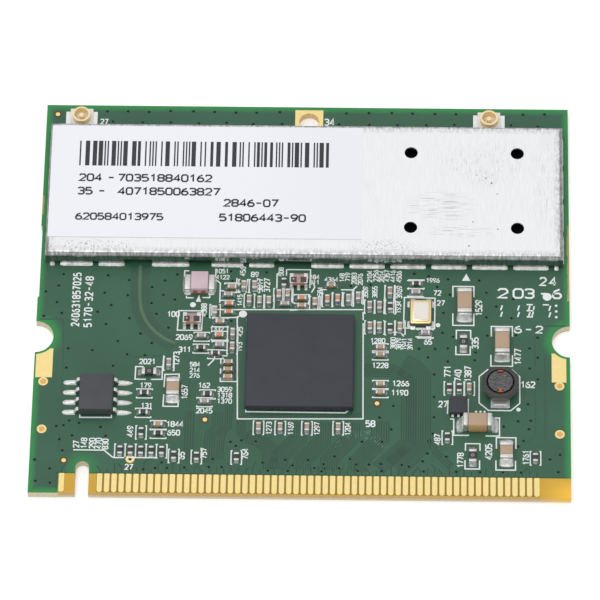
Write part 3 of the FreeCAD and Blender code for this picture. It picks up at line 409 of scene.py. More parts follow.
def boardMaterial(s):
    g = Graph("boardLaminate")
    place = g.place()
    x, y, z = g.axes(place)
    wobble = g.noise(place, 0.9, 3.0) - 0.5
    toSide = s["halfWidth"] - abs(x)
    toEnd = s["halfDepth"] - abs(y)
    notchX, notchY, notchRadius = s["notch"]
    dx, dy = notchX - abs(x), y - notchY
    toNotch = g.math("SQRT", dx * dx + dy * dy) - notchRadius
    keyX, keyHalf, keyTop = s["key"]
    kx = abs(x - keyX)
    ky = g.math("MAXIMUM", y - keyTop, 0.0)
    toKey = g.math("SQRT", kx * kx + ky * ky) - keyHalf
    nearest = g.math("MINIMUM", g.math("MINIMUM", toSide, toEnd), toNotch * 0.75)
    low, high = s["edgeBand"]
    band = 1 - g.ramp(nearest + wobble * 0.25, low, high)
    band = g.math("MAXIMUM", band, (1 - g.ramp(toKey + wobble * 0.3, 0.1, s["keyBand"])) * 0.7)
    cloud = g.noise(place, 0.12, 4.0, 0.55)
    copper = g.mix(g.ramp(cloud, 0.3, 0.7), s["maskOverCopper"], toned(s["maskOverCopper"], 1.22))
    mask = g.mix(band, copper, s["maskOverLaminate"])
    weaving = {"Vector": place, "Scale": 3.1, "Distortion": 0.6}
    weave = g.node("ShaderNodeTexWave", {"bands_direction": "X"}, weaving)
    fibres = g.mix(weave * 0.35, s["bareLaminate"], toned(s["bareLaminate"], 0.72))
    toRight = g.ramp(x, *s["rightEnd"]) * g.ramp(y + wobble, s["stripTop"] + 0.4, s["stripTop"] - 1.6)
    fibres = g.mix(toRight, fibres, s["brightLaminate"])
    inStrip = (y < s["stripTop"]) * (x > s["stripLeft"])
    middle, half = s["fingerRow"]
    betweenFingers = (abs(x - middle) < half) * (y > s["fingerEnd"])
    strip = g.mix(betweenFingers * 0.75, fibres, s["betweenFingers"])
    face = g.mix(inStrip, mask, strip)
    low, high = s["tornEdge"]
    torn = (s["halfWidth"] - x < wobble * 0.6 + 0.22) * (y > low) * (y < high)
    low, high = s["scar"]
    scar = (x + s["halfWidth"] < wobble * 0.5 + 0.2) * (y > low) * (y < high)
    face = g.mix(g.math("MAXIMUM", torn, scar), face, s["tornColour"])
    middleX, middleY, radius = s["scuff"]
    dx, dy = x - middleX, y - middleY
    onArc = 1 - g.ramp(abs(g.math("SQRT", dx * dx + dy * dy) - radius + wobble), 0.1, 0.7)
    scuff = onArc * (dy > 0.9) * g.ramp(g.noise(place, 2.6, 3.0, 0.8), 0.5, 0.62) * 0.42
    face = g.mix(scuff, face, s["scuffTone"])
    # painted shade: the board under the shield can is darkened as if in its shadow; it shows only through the
    # vents
    half, low, high = s["underCan"]
    face = g.mix((abs(x) < half) * (y > low) * (y < high), face, s["paintedShade"])
    speckle = g.noise(place, 6.0, 3.0, 0.7, (1.0, 1.0, 0.35))
    cut = g.mix(speckle, s["cutEdge"], toned(s["cutEdge"], 0.55))
    underFingers = (y < -s["halfDepth"] + 0.2) * (x > s["stripLeft"]) * g.ramp(z + wobble * 0.3, 0.25, 0.75)
    cut = g.mix(underFingers, cut, g.mix(speckle, s["stripEdge"], toned(s["stripEdge"], 0.6)))
    atRight = (y < 0.2 - s["halfDepth"]) * g.ramp(x, *s["rightFront"])
    cut = g.mix(atRight * 0.75, cut, s["brightLaminate"])
    low, high = s["cutHeights"]
    onSide = (z > low) * (z < high)
    colour = g.mix(onSide, face, cut)
    grain = g.noise(place, 9.0, 2.0) * 0.4 + g.noise(place, 1.3, 3.0)
    roughness = g.node("ShaderNodeMapRange", inputs={0: onSide, 3: 0.33, 4: 0.8}) + cloud * 0.08
    return g.finish(colour=colour, roughness=roughness, normal=g.bump(grain, 0.012, 0.35), specular=0.42)


board = boardMaterial(boardFinish)


# metals, ceramics and moulded finishes

def metalMaterial(name, colour, roughness, grain, spread=0.12, depth=0.01, darker=0.75, metallic=1.0):
    g = Graph(name)
    place = g.place()
    cloud = g.noise(place, grain, 3.0, 0.6)
    tone = g.mix(g.ramp(cloud, 0.3, 0.75), toned(colour, darker), colour)
    bumps = g.bump(g.noise(place, grain * 4, 2.0), depth, 0.5)
    roughness = g.ramp(cloud, 0.0, 1.0) * spread + roughness
    return g.finish(colour=tone, metallic=metallic, roughness=roughness, normal=bumps)


def mouldMaterial(name, colour, roughness=0.55, grain=14.0, depth=0.012, variation=0.35, specular=0.5):
    g = Graph(name)
    place = g.place()
    fine = g.noise(place, grain, 3.0, 0.7)
    broad = g.noise(place, 0.5, 2.0)
    tone = g.mix(g.ramp(fine, 0.35, 0.7), colour, toned(colour, 1 + variation))
    tone = g.mix(g.ramp(broad, 0.3, 0.7) * 0.35, tone, toned(colour, 0.8))
    roughness = broad * 0.1 + roughness
    return g.finish(colour=tone, roughness=roughness, normal=g.bump(fine, depth, 0.6), specular=specular)


def chipMaterial(name, stops, roughness=0.4):  # ceramic whose colour is picked by each piece's tint
    g = Graph(name)
    place = g.place()
    tint = g.node("ShaderNodeAttribute", {"attribute_name": "tint"}, output="Fac")
    base = g.node("ShaderNodeValToRGB", {"stops": [(at, opaque(colour)) for at, colour in stops]}, {0: tint})
    fine = g.noise(place, 7.0, 3.0, 0.6)
    tone = g.mix(g.ramp(fine, 0.3, 0.75) * 0.3, base, (0.9, 0.85, 0.8), "MULTIPLY")
    return g.finish(colour=tone, roughness=fine * 0.15 + roughness, normal=g.bump(fine, 0.008, 0.5))


gold = metalMaterial("goldPlate", (0.96, 0.76, 0.32), 0.28, 2.0, 0.12, 0.006, darker=0.93)
tinnedLead = metalMaterial("tinnedLead", (0.93, 0.92, 0.89), 0.28, 5.0, 0.2, 0.012, darker=0.8, metallic=0.7)
solder = metalMaterial("solder", (0.93, 0.92, 0.89), 0.25, 2.6, 0.25, 0.05, darker=0.6, metallic=0.6)
# painted shade: a darker copy of the solder, for the small chips' fillets
shadedSmallSolder = metalMaterial("shadedSmallSolder", (0.66, 0.67, 0.64), 0.3, 6.0, 0.2, 0.05, darker=0.3, metallic=0.9)
footSolder = metalMaterial("footSolder", (0.96, 0.95, 0.91), 0.3, 1.6, 0.25, 0.04, darker=0.45, metallic=0.4)
socketGold = metalMaterial("socketGold", (1.0, 0.78, 0.42), 0.26, 2.0, 0.12, 0.006, darker=0.95, metallic=0.4)
lidGold = metalMaterial("lidGold", (0.93, 0.79, 0.55), 0.32, 3.0, 0.12, 0.006, darker=0.9)
chipEnd = metalMaterial("chipEnd", (0.80, 0.79, 0.77), 0.36, 6.0, 0.2, 0.014, darker=0.72)
copperWire = metalMaterial("copperWire", (0.86, 0.33, 0.13), 0.3, 6.0, 0.15, 0.01)
crystalLidMetal = metalMaterial("crystalLidMetal", (0.86, 0.80, 0.74), 0.4, 5.0, 0.15, 0.01, darker=0.92)
mould = mouldMaterial("mouldCompound", (0.028, 0.031, 0.039), 0.5)
memoryMould = mouldMaterial("memoryMould", (0.050, 0.053, 0.060), 0.5)
landShadow = mouldMaterial("landShadow", (0.02, 0.022, 0.022), 0.6)
whiteMoulding = mouldMaterial("whiteMoulding", (0.78, 0.76, 0.72), 0.4, 8.0, 0.006, 0.08)
lilacCeramic = mouldMaterial("lilacCeramic", (0.61, 0.45, 0.49), 0.45, 9.0, 0.01, 0.15)
transformerCeramic = mouldMaterial("transformerCeramic", (0.16, 0.075, 0.06), 0.4, 9.0, 0.01, 0.3)
crystalCeramic = mouldMaterial("crystalCeramic", (0.09, 0.08, 0.075), 0.5, 8.0, 0.01, 0.2)
# at 0.8 on each ramp is the colour of a chip's front faces, painted light: a lighter orange on the tan
# ceramic and the glaze, a darker red on the coils
tanCeramic = chipMaterial("tanCeramic", [
    (0.0, (0.05, 0.048, 0.05)), (0.05, (0.49, 0.34, 0.22)), (0.3, (0.44, 0.31, 0.23)),
    (0.55, (0.36, 0.29, 0.26)), (0.8, (0.60, 0.36, 0.17)), (1.0, (0.38, 0.34, 0.34)),
])
glaze = chipMaterial("resistorGlaze", [(0.0, (0.03, 0.03, 0.034)), (1.0, (0.05, 0.045, 0.045))], 0.25)
coilCeramic = chipMaterial("coilCeramic", [
    (0.0, (0.62, 0.22, 0.12)), (0.5, (0.68, 0.33, 0.15)), (0.8, (0.50, 0.20, 0.08)),
    (1.0, (0.45, 0.38, 0.34)),
])


ferriteFinish = {"top": (0.027, 0.028, 0.028), "side": (0.13, 0.127, 0.12), "shoulder": (2.45, 2.74)}
drumFinish = {"dark": (0.035, 0.034, 0.033), "light": (0.17, 0.165, 0.16)}


def ferriteMaterial(s):  # pressed ferrite; its sides below the shoulder are paler, a painted reflection of the bright floor
    g = Graph("ferrite")
    place = g.place()
    x, y, z = g.axes(place)
    fine = g.noise(place, 9.0, 3.0, 0.7)
    # painted reflection: below the shoulder the sides take the paler side colour, as if they mirrored the
    # floor
    tone = g.mix(g.ramp(z, *s["shoulder"]), s["side"], s["top"])
    tone = g.mix(g.ramp(fine, 0.35, 0.7) * 0.5, tone, toned(s["side"], 0.6))
    return g.finish(colour=tone, roughness=fine * 0.2 + 0.35, normal=g.bump(fine, 0.03, 0.6))


def drumMaterial(s):  # ground end of the coil's core, with short pale streaks
    g = Graph("ferriteDrum")
    place = g.place()
    streaks = g.noise(place, 2.2, 4.0, 0.75, (1.0, 2.6, 1.0))
    tone = g.mix(g.ramp(streaks, 0.42, 0.66), s["dark"], s["light"])
    return g.finish(colour=tone, roughness=streaks * 0.3 + 0.2, normal=g.bump(streaks, 0.04, 0.7))


ferrite = ferriteMaterial(ferriteFinish)
drumFace = drumMaterial(drumFinish)

tinFinish = {
    "colour": (0.92, 0.92, 0.92), "dull": (0.66, 0.66, 0.65), "stainAndShade": (0.22, 0.215, 0.21),
    "smudge": (0.45, 0.44, 0.42), "roughness": 0.22, "brush": (9.0, 0.35, 1.0),
    "lid": (29.1, 4.14, 21.88, 2.97),  # half width, front, back and top in mm
    # worn patches on the lid: middle x and y, half sizes, how fine the marks lie along x and y, strength
    "patches": [
        (15.4, 11.0, 4.4, 2.4, (0.3, 9.0, 1.0), 0.6), (17.6, 7.6, 4.4, 1.1, (0.35, 8.0, 1.0), 0.6),
        (20.4, 14.8, 1.8, 1.6, (4.4, 4.8, 1.0), 0.4), (9.0, 5.6, 4.6, 1.1, (3.6, 5.0, 1.0), 0.65),
        (27.2, 14.0, 2.0, 8.0, (9.0, 0.5, 1.0), 0.3), (20.5, 17.0, 6.5, 3.6, (7.0, 0.7, 1.0), 0.3),
        (-24.0, 5.4, 5.5, 1.0, (5.0, 2.0, 1.0), 0.7),
    ],
    "specks": [  # x, y, radius
        (20.4, 14.8, 0.10), (21.05, 14.15, 0.13), (19.35, 15.2, 0.08), (21.7, 12.7, 0.08),
        (18.95, 8.95, 0.09), (21.75, 8.0, 0.10), (18.5, 5.75, 0.12),
    ],
}


def tinMaterial(s):  # rolled tin plate: faint brushing, worn patches, painted shade on the bends and a few specks
    g = Graph("tinplate")
    place = g.place()
    x, y, z = g.axes(place)
    halfWidth, front, back, top = s["lid"]
    brushing = g.noise(place, 1.4, 4.0, 0.6, s["brush"])
    smudge = g.noise(place, 0.22, 4.0, 0.6)
    mottle = g.noise(place, 1.6, 4.0, 0.7, (2.2, 1.0, 0.6))
    tone = g.mix(g.ramp(brushing, 0.35, 0.75) * 0.4, s["colour"], s["dull"])
    tone = g.mix(g.ramp(smudge, 0.6, 0.8) * 0.12, tone, s["smudge"])
    for middleX, middleY, halfX, halfY, stretch, strength in s["patches"]:
        acrossX, acrossY = (x - middleX) / halfX, (y - middleY) / halfY
        inside = 1 - g.ramp(acrossX * acrossX + acrossY * acrossY, 0.15, 1.0)
        marks = g.ramp(g.noise(place, 1.3, 2.0, 0.7, stretch), 0.55, 0.66)
        tone = g.mix(inside * marks * strength, tone, s["stainAndShade"])
    # darker mottling near the lid's edges
    toEdge = g.math("MINIMUM", g.math("MINIMUM", halfWidth - abs(x), y - front), back - y)
    nearEdge = 1 - g.ramp(toEdge, 0.3, 1.2)
    tone = g.mix(nearEdge * g.ramp(mottle, 0.4, 0.6) * 0.6, tone, s["stainAndShade"])
    # painted shade: the bends and the upright walls below the lid's top are darkened, with mottled streaks on
    # the bends and more at the sides
    bend = 1 - g.ramp(z, top - 0.04, top - 0.003)
    upright = 1 - g.ramp(z, top - 0.6, top - 0.3)
    atSide = abs(x) > halfWidth - 0.6
    streaked = g.ramp(mottle, 0.35, 0.7) * (1 - upright) * 0.25
    tone = g.mix(bend * (streaked + atSide * 0.25 + 0.33), tone, s["stainAndShade"])
    # a dark broken line along the lid's front, where the bend begins
    frontLine = (1 - g.ramp(abs(y - front - 0.3), 0.04, 0.14)) * g.ramp(mottle, 0.32, 0.5)
    tone = g.mix(frontLine * 0.6, tone, s["stainAndShade"])
    for atX, atY, radius in s["specks"]:
        dx, dy = x - atX, y - atY
        tone = g.mix((dx * dx + dy * dy < radius * radius) * 0.8, tone, s["stainAndShade"])
    wave = g.noise(place, 0.09, 2.0)
    height = brushing * 0.05 + wave * 4.0
    curved = bend * g.ramp(z, top - 0.42, top - 0.22)
    rough = g.ramp(brushing, 0.2, 0.8) * 0.1 + g.ramp(smudge, 0.5, 0.8) * 0.1
    rough = rough + curved * 0.4 - upright * 0.12 + s["roughness"]
    return g.finish(colour=tone, metallic=1.0, roughness=rough, normal=g.bump(height, 0.03, 0.4))


tinplate = tinMaterial(tinFinish)


labelFinish = {"paper": (0.90, 0.89, 0.93), "right": (0.83, 0.84, 0.86)}


def paperMaterial(s):  # the paper is a little greyer to the right
    g = Graph("labelPaper")
    place = g.place()
    fibre = g.noise(place, 5.0, 4.0, 0.6)
    x, y, z = g.axes(place)
    lighter = g.ramp(x, -6.0, 2.0)
    tone = g.mix(g.ramp(fibre, 0.3, 0.7) * 0.5, s["paper"], toned(s["paper"], 0.965))
    tone = g.mix(lighter * 0.5, tone, s["right"])
    return g.finish(colour=tone, roughness=fibre * 0.1 + 0.5, normal=g.bump(fibre, 0.01, 0.3))


paper = paperMaterial(labelFinish)

finishes = {
    "laminate": board, "gold_plate": gold, "tinplate": tinplate, "label_paper": paper,
    "mould_compound": mould, "tinned_lead": tinnedLead, "solder": solder, "ferrite": ferrite,
    "copper_wire": copperWire, "crystal_ceramic": crystalCeramic, "crystal_lid_metal": crystalLidMetal,
    "white_moulding": whiteMoulding, "lilac_ceramic": lilacCeramic,
    "transformer_ceramic": transformerCeramic, "capacitor_ceramic": tanCeramic,
    "resistor_glaze": glaze, "coil_ceramic": coilCeramic, "chip_terminal": chipEnd,
}
for node in nodes.values():
    for held in node.material_slots:
        held.material = finishes[held.material.name.split(".")[0]]
print("materials:", len(finishes))


# silk print: white lines beside the parts, plain numbers of our own, dots and arrows

digitLines = {
    "0": [[(0, .2), (.12, 0), (.48, 0), (.6, .2), (.6, .8), (.48, 1), (.12, 1), (0, .8), (0, .2)]],
    "1": [[(.1, .75), (.36, 1), (.36, 0)]],
    "2": [[(0, .8), (.13, 1), (.47, 1), (.6, .8), (.6, .6), (0, 0), (.6, 0)]],
    "3": [[(0, .9), (.15, 1), (.45, 1), (.6, .85), (.6, .65), (.45, .52), (.2, .52)],
          [(.45, .52), (.6, .38), (.6, .15), (.45, 0), (.15, 0), (0, .1)]],
    "4": [[(.45, 0), (.45, 1), (0, .3), (.62, .3)]],
    "5": [[(.55, 1), (.05, 1), (0, .55), (.4, .6), (.6, .42), (.6, .18), (.42, 0), (.12, 0), (0, .1)]],
    "6": [[(.5, 1), (.15, .8), (0, .4), (0, .18), (.14, 0), (.46, 0), (.6, .18), (.6, .38), (.46, .55),
           (.14, .55), (0, .4)]],
    "7": [[(0, 1), (.6, 1), (.2, 0)]],
    "8": [[(.15, .52), (0, .68), (0, .85), (.14, 1), (.46, 1), (.6, .85), (.6, .68), (.45, .52), (.15, .52)],
          [(.45, .52), (.6, .36), (.6, .15), (.46, 0), (.14, 0), (0, .15), (0, .36), (.15, .52)]],
    "9": [[(.1, 0), (.45, .2), (.6, .6), (.6, .82), (.46, 1), (.14, 1), (0, .82), (0, .62), (.14, .45),
           (.46, .45), (.6, .6)]],
    "-": [[(.05, .5), (.55, .5)]],
}


def write(shape, text, x, y, height, low, high, turned, weight, wide, pitch):
    step = height * pitch * wide
    start = -(len(text) - 1) * step / 2 - 0.3 * height * wide  # a sign is 1 high and about 0.6 wide
    for i, sign in enumerate(text):
        for line in digitLines[sign]:
            points = [(px * wide * height + start + i * step, (py - 0.5) * height) for px, py in line]
            if turned:
                points = [(-b, a) for a, b in points]
            shape.stroke([(x + a, y + b) for a, b in points], weight * height, low, high)


inkFinish = {"silk": (0.85, 0.88, 0.86), "label": (0.030, 0.031, 0.036)}


def inkMaterial(name, colour, roughness, worn):
    g = Graph(name)
    place = g.place()
    thin = g.ramp(g.noise(place, 3.0, 3.0, 0.65), 0.42, 0.75)
    tone = g.mix(thin * worn, colour, toned(colour, 0.55))
    return g.finish(colour=tone, roughness=thin * 0.2 + roughness)


silkInk = inkMaterial("silkInk", inkFinish["silk"], 0.6, 0.25)


def bracket(left, right, near, far):  # a line round one side of a part
    return [(left, near), (left, far), (right, far), (right, near)]


silkSettings = {
    "low": boardTop, "high": boardTop + 0.02, "line": 0.145, "lifts": 17,
    "chipGap": 0.58, "chipLength": 0.86, "serif": 0.15, "chipLine": 0.9,
    "endReach": 0.55, "endShift": 0.2,  # how near a part's ends lie, and how far aside along x
    # places without brackets, and how near a part's middle has to be
    "skip": [(-8.3, -0.3), (-8.3, -1.1), (-8.3, -2.2), (-2.2, 1.9), (-2.0, -1.0), (0.2, -0.9), (3.0, 1.6)],
    "skipReach": (0.6, 0.5),
    # open lines and outlines, x then y in mm from the board's middle
    "lines": [
        [(-7.35, -1.73), (6.70, -1.57)], [(6.72, -1.9), (6.74, -2.95)],
        [(6.74, -3.35), (6.87, -15.69), (-7.01, -15.86), (-7.35, -2.7), (-6.95, -2.5)],
        [(-6.2, -2.9), (-6.1, -14.93), (4.9, -14.95), (5.5, -14.4)], [(-7.2, -1.75), (-9.9, -1.75)],
        [(-7.2, -2.75), (-9.9, -2.85), (-10.2, -2.5), (-10.2, -1.2)],
        [(-13.1, 0.0), (-13.1, -0.25), (-12.3, -0.25)], [(-10.5, 0.1), (-10.5, -0.2), (-11.3, -0.2)],
        [(-13.4, 2.4), (-13.4, 3.3), (-12.9, 3.3)],
        [(-13.9, -1.95), (-11.2, -1.95), (-11.3, -4.5), (-14.0, -4.5), (-13.9, -1.95)],
        [(-9.9, 3.6), (-9.9, 2.2)], [(-9.9, 2.2), (-9.35, 1.7), (-9.35, -0.85)], [(-9.3, 0.7), (-8.9, 0.7)],
        [(-9.3, -0.55), (-7.7, -0.55)], [(-8.9, 1.72), (-7.5, 1.75), (-7.5, 2.4)],
        [(-7.5, 1.7), (-7.5, 0.5), (-7.9, 0.5)], [(-6.3, 2.3), (-6.45, 0.5)],
        [(-2.6, 3.2), (-3.0, 3.0), (-3.0, 1.1)], [(-1.95, 3.6), (0.75, 3.6), (0.7, 1.2)],
        [(-1.95, 3.6), (-1.95, 2.8)], [(-1.3, 1.1), (-1.3, -0.6), (-1.1, -0.8)],
        [(1.1, 1.9), (1.25, 1.3), (0.9, 0.6)], [(0.6, 0.3), (0.6, -1.0)], [(-1.5, -1.75), (-0.6, -1.7)],
        [(1.9, 1.0), (2.6, 1.0)], [(4.2, 1.0), (5.55, 1.0), (6.0, 1.5)], [(2.1, 0.7), (2.05, -1.1)],
        [(1.7, 0.3), (1.65, -1.65)], [(3.25, 0.7), (3.2, -1.1)], [(4.4, 0.7), (4.3, -1.1)],
        [(5.5, 0.8), (5.4, -1.1)], [(6.6, 0.9), (6.55, -0.8)], [(9.15, 1.7), (9.05, -2.0)],
        [(10.2, 1.7), (10.1, -2.0)], [(10.0, -4.5), (10.9, -4.5), (11.3, -5.0)],
        [(11.32, 0.08), (14.75, 0.03), (14.72, -3.95), (11.25, -3.92), (11.32, 0.08)],
        [(11.6, 2.3), (13.4, 2.3)], [(11.6, 1.25), (13.4, 1.25)], [(11.6, 0.25), (13.4, 0.25)],
        [(12.6, -4.05), (14.4, -4.05)], [(12.6, -5.05), (14.4, -5.05)],
        *(bracket(*sides) for sides in (
            (16.75, 19.1, 0.2, 1.6), (16.75, 19.1, -1.95, -3.5), (17.15, 18.75, -5.3, -4.15),
            (17.1, 18.7, -6.2, -7.3), (21.05, 23.4, -4.9, -3.6), (21.0, 23.4, -7.3, -8.75))),
        [(20.7, -9.15), (19.7, -10.1), (19.7, -13.5), (20.75, -14.45), (23.2, -14.45), (24.2, -13.5),
         (24.2, -10.1), (23.3, -9.15)],
        [(16.25, -13.2), (16.2, -14.95)], [(18.5, -13.0), (18.5, -14.8)],
        [(16.5, -15.6), (16.9, -15.6), (16.9, -17.65), (18.6, -17.65)],
        [(20.4, -17.7), (21.95, -17.7), (21.95, -15.4), (21.2, -15.4)],
        *(bracket(*sides) for sides in (
            (18.2, 19.8, -19.6, -18.7), (18.15, 19.75, -20.8, -21.9), (21.6, 23.75, -19.3, -17.9),
            (21.55, 23.7, -20.8, -22.0))),
        [(-17.6, -9.28), (-18.48, -9.28), (-18.5, -10.89), (-17.3, -10.91)],
        [(-16.75, -10.91), (-15.5, -10.89), (-15.5, -9.28), (-16.2, -9.28)], [(-15.45, -9.3), (-15.4, -7.8)],
        [(-14.3, -9.45), (-14.25, -7.95)],
        [(-15.25, -11.9), (-15.2, -10.25), (-13.62, -10.2), (-13.65, -11.8)],
        [(-15.25, -12.8), (-15.28, -14.35), (-13.62, -14.35), (-13.62, -12.8)],
        [(-9.03, -8.1), (-9.03, -8.8)], [(-9.03, -9.4), (-9.03, -10.1)],
        [(-9.03, -10.6), (-9.03, -11.08), (-7.2, -11.08)],
        [(-24.45, -15.45), (-24.45, -15.88), (-20.95, -15.85), (-20.95, -15.4)],
        [(-25.0, -20.02), (-21.6, -20.02), (-20.7, -20.85), (-20.5, -20.95), (-15.75, -20.9)],
        [(-10.2, -7.78), (-8.3, -7.76)], [(-9.72, -7.8), (-9.75, -8.2), (-10.45, -9.05)],
        [(20.9, 22.0), (20.95, 22.6)], [(-23.55, 22.0), (-23.5, 22.8)],
    ],
    "dots": [  # x, y, radius
        (-12.35, -1.15, 0.33), (-6.72, -2.3, 0.45), (15.1, -3.5, 0.26), (27.3, 0.35, 0.5),
        (24.05, -14.3, 0.24), (28.3, -0.8, 0.15), (28.3, -1.55, 0.15), (28.3, -2.3, 0.15),
        (19.35, -14.62, 0.13), (19.85, -14.62, 0.13), (20.3, -14.62, 0.13),
    ],
    "arrows": [
        [(17.75, 2.35), (18.7, 2.35), (18.25, 3.3)], [(-12.05, -0.75), (-11.45, -0.75), (-11.7, 0.15)],
    ],
    # plain numbers: text, x, y, height, turned to read upwards
    "numberShape": (0.21, 0.92, 0.84),  # weight of the strokes, width and pitch as shares of the height
    "numbers": [
        ("100", -14.5, -2.4, 0.62, False), ("2069", -13.2, -5.4, 0.62, False),
        ("311", -13.1, -7, 0.62, False), ("1273", -14, -8.2, 0.6, True), ("2021", -17.2, -8.6, 0.6, False),
        ("179", -17.3, -11.68, 0.56, False), ("131", -17.1, -14.28, 0.56, False),
        ("1657", -12.95, -12.5, 0.6, True), ("1844", -13.9, -16.6, 0.62, False),
        ("650", -14, -17.7, 0.62, False), ("449", -18.8, -17.6, 0.62, True),
        ("2045", -10.7, -14.85, 0.6, False), ("162", -10.8, -11.6, 0.58, False),
        ("65", -13.05, -20.6, 0.62, True), ("757", -10.6, -20.3, 0.6, True),
        ("764", -6.05, -20.3, 0.6, True), ("27", -18.8, -22.1, 0.62, False), ("27", -24.7, -19.3, 0.6, True),
        ("148", -23.85, -19.15, 0.6, True), ("290", -22.95, -19.15, 0.6, True),
        ("470", -22.25, -19.15, 0.6, True), ("830", -21.5, -19.25, 0.6, True),
        ("584", -11.9, -8.9, 0.5, False), ("214", -11.9, -9.65, 0.5, False),
        ("276", -11.9, -10.35, 0.5, False), ("3059", -8.5, -12.1, 0.55, False),
        ("1318", -8.5, -12.85, 0.55, False), ("1370", -8.5, -13.6, 0.55, False),
        ("1051", -9.2, 3.3, 0.5, False), ("4122", -9.1, 2.5, 0.5, False), ("456", -6.85, 3.3, 0.55, True),
        ("89", -5.5, 2.9, 0.6, False), ("3817", -4.9, 1.5, 0.6, True), ("3727", -4.1, 1.5, 0.6, True),
        ("508", -2.55, 3.3, 0.5, True), ("1415", -7.1, -0.5, 0.5, True), ("4388", -11.1, -1.8, 0.55, True),
        ("1332", -9.6, -4.3, 0.5, False), ("425", -7, -4.6, 0.55, True), ("193", -7, -6.6, 0.55, True),
        ("1484", 1, 2.65, 0.5, False), ("311", 1.2, 1.95, 0.5, False), ("4364", 3.1, 2.35, 0.5, False),
        ("148", 4.3, 2.6, 0.5, True), ("719", 4.95, 2.7, 0.5, True), ("2083", 5.65, 2.5, 0.5, True),
        ("2076", 6.35, 2.4, 0.5, True), ("2104", 7.4, 2.8, 0.5, True), ("2256", 8.1, 2.9, 0.5, True),
        ("2014", 8.75, 2.8, 0.5, True), ("4357", 9.35, 2.9, 0.5, True), ("4416", 10, 2.85, 0.5, True),
        ("4506", 10.7, 2.8, 0.5, True), ("584", 1.85, 0.75, 0.5, True), ("3509", 6.95, 0.7, 0.5, True),
        ("3855", 8, 0.75, 0.5, True), ("3969", 10.75, 0.75, 0.55, True), ("1934", 10.65, -1.2, 0.55, True),
        ("1996", 14.5, 2.35, 0.5, False), ("72", 15, 0.7, 0.6, False), ("27", 15.4, -0.6, 0.6, False),
        ("1280", 8.4, -5.6, 0.55, False), ("3800", 10.1, -5.9, 0.5, True), ("3879", 10.75, -6, 0.5, True),
        ("1941", 11.35, -6, 0.5, True), ("3914", 12, -6, 0.5, True), ("1228", 8.7, -8.8, 0.6, False),
        ("1266", 11, -11.1, 0.62, False), ("1190", 10.9, -12.3, 0.62, False), ("65", 14, -5.7, 0.6, False),
        ("1529", 19.65, -1.2, 0.68, True), ("335", 19.25, -5.8, 0.66, True), ("1477", 24, -7.5, 0.68, True),
        ("162", 25.1, -11.1, 0.72, False), ("771", 16.2, -9.5, 0.66, True), ("740", 17.35, -10, 0.66, True),
        ("1387", 18.45, -9.8, 0.66, True), ("27", 15.7, -13.7, 0.7, False), ("487", 15.1, -18.2, 0.6, True),
        ("1778", 17.65, -20.8, 0.62, True), ("4205", 20.75, -19.7, 0.66, True),
        ("1761", 24.85, -20.4, 0.6, True), ("58", 7.7, -16.3, 0.72, False),
        ("1273", -3.5, -17.0, 0.54, True), ("1169", -1.08, -17.0, 0.54, True),
        ("1297", 1.8, -17.0, 0.54, True), ("1204", 5.2, -17.0, 0.54, True),
        ("27", -23.2, 23.25, 0.62, False), ("34", 2.55, 23.45, 0.8, False),
    ],
    "largeWeight": 0.19,
    "large": [  # the same, and how wide
        ("240631857025", -25.45, -0.6, 0.8, True, 0.745), ("5170-32-48", -24.05, -0.9, 0.8, True, 0.85),
        ("24", 27.4, 2.35, 1.0, False, 1.1), ("20", 23.2, 0.75, 1.15, False, 1.5),
        ("3", 25.3, 0.75, 1.15, False, 1.4), ("-", 26.9, 0.75, 1.15, False, 1.0),
        ("6", 28.4, 0.75, 1.15, False, 1.3), ("6-2", 25.2, -3.95, 0.85, False, 1.4),
    ],
    # slanted strokes and short dashes like a stencilled number
    "slants": ((22.2, 24.1, 25.3, 27.6), (-1.15, -2.0)), "slant": (-0.1, 0.08, 0.32), "slantWidth": 0.17,
    "dashes": [
        *([(25.0, y), (25.7, y)] for y in (-0.7, -1.5, -2.3)),
        [(26.8, -0.7), (27.5, -0.7)], [(25.85, -0.9), (25.75, -1.4)], [(25.75, -1.6), (25.6, -2.2)],
    ],
    "dashWidth": 0.16,
}
smallChips = ("small_capacitor", "small_resistor", "small_coil")
smallEnds = [(a + b) / 2 for stem in smallChips for a, b in islands(f"{stem}_ends")]


def chipBrackets(shape, s):  # two brackets beside each small part
    reachX, reachY = s["skipReach"]
    for stem in smallChips:
        for lowest, highest in islands(f"{stem}_bodies"):
            x, y = (lowest.x + highest.x) / 2, (lowest.y + highest.y) / 2
            if any(abs(x - a) < reachX and abs(y - b) < reachY for a, b in s["skip"]):
                continue
            ends = [end for end in smallEnds if abs(end.x - x) + abs(end.y - y) < s["endReach"]]
            alongX = max(abs(end.x - x) for end in ends) > s["endShift"]
            for side in (-1, 1):
                gap, half, tick = side * s["chipGap"], s["chipLength"], side * s["serif"]
                line = bracket(-half, half, gap - tick, gap)
                line = [(x + a, y + b) if alongX else (x + b, y + a) for a, b in line]
                shape.stroke(line, s["line"] * s["chipLine"], s["low"], s["high"])


def silkscreen(s):
    shape = Shape(s["lifts"])
    low, high = s["low"], s["high"]
    for line in s["lines"]:
        shape.stroke(line, s["line"], low, high)
    for x, y, radius in s["dots"]:
        shape.disc(x, y, radius, low, high, 20)
    for arrow in s["arrows"]:
        shape.slab(arrow, low, high)
    for text, x, y, height, turned in s["numbers"]:
        write(shape, text, x, y, height, low, high, turned, *s["numberShape"])
    for text, x, y, height, turned, wide in s["large"]:
        write(shape, text, x, y, height, low, high, turned, s["largeWeight"], wide, 1.0)
    across, down = s["slants"]
    left, right, half = s["slant"]
    for x in across:
        for y in down:
            shape.stroke([(x + left, y - half), (x + right, y + half)], s["slantWidth"], low, high)
    for line in s["dashes"]:
        shape.stroke(line, s["dashWidth"], low, high)
    chipBrackets(shape, s)
    shape.piece("silkscreen", silkInk, "laminate")


silkscreen(silkSettings)
print("silk print")


# plated holes, test points and the traces under the mask

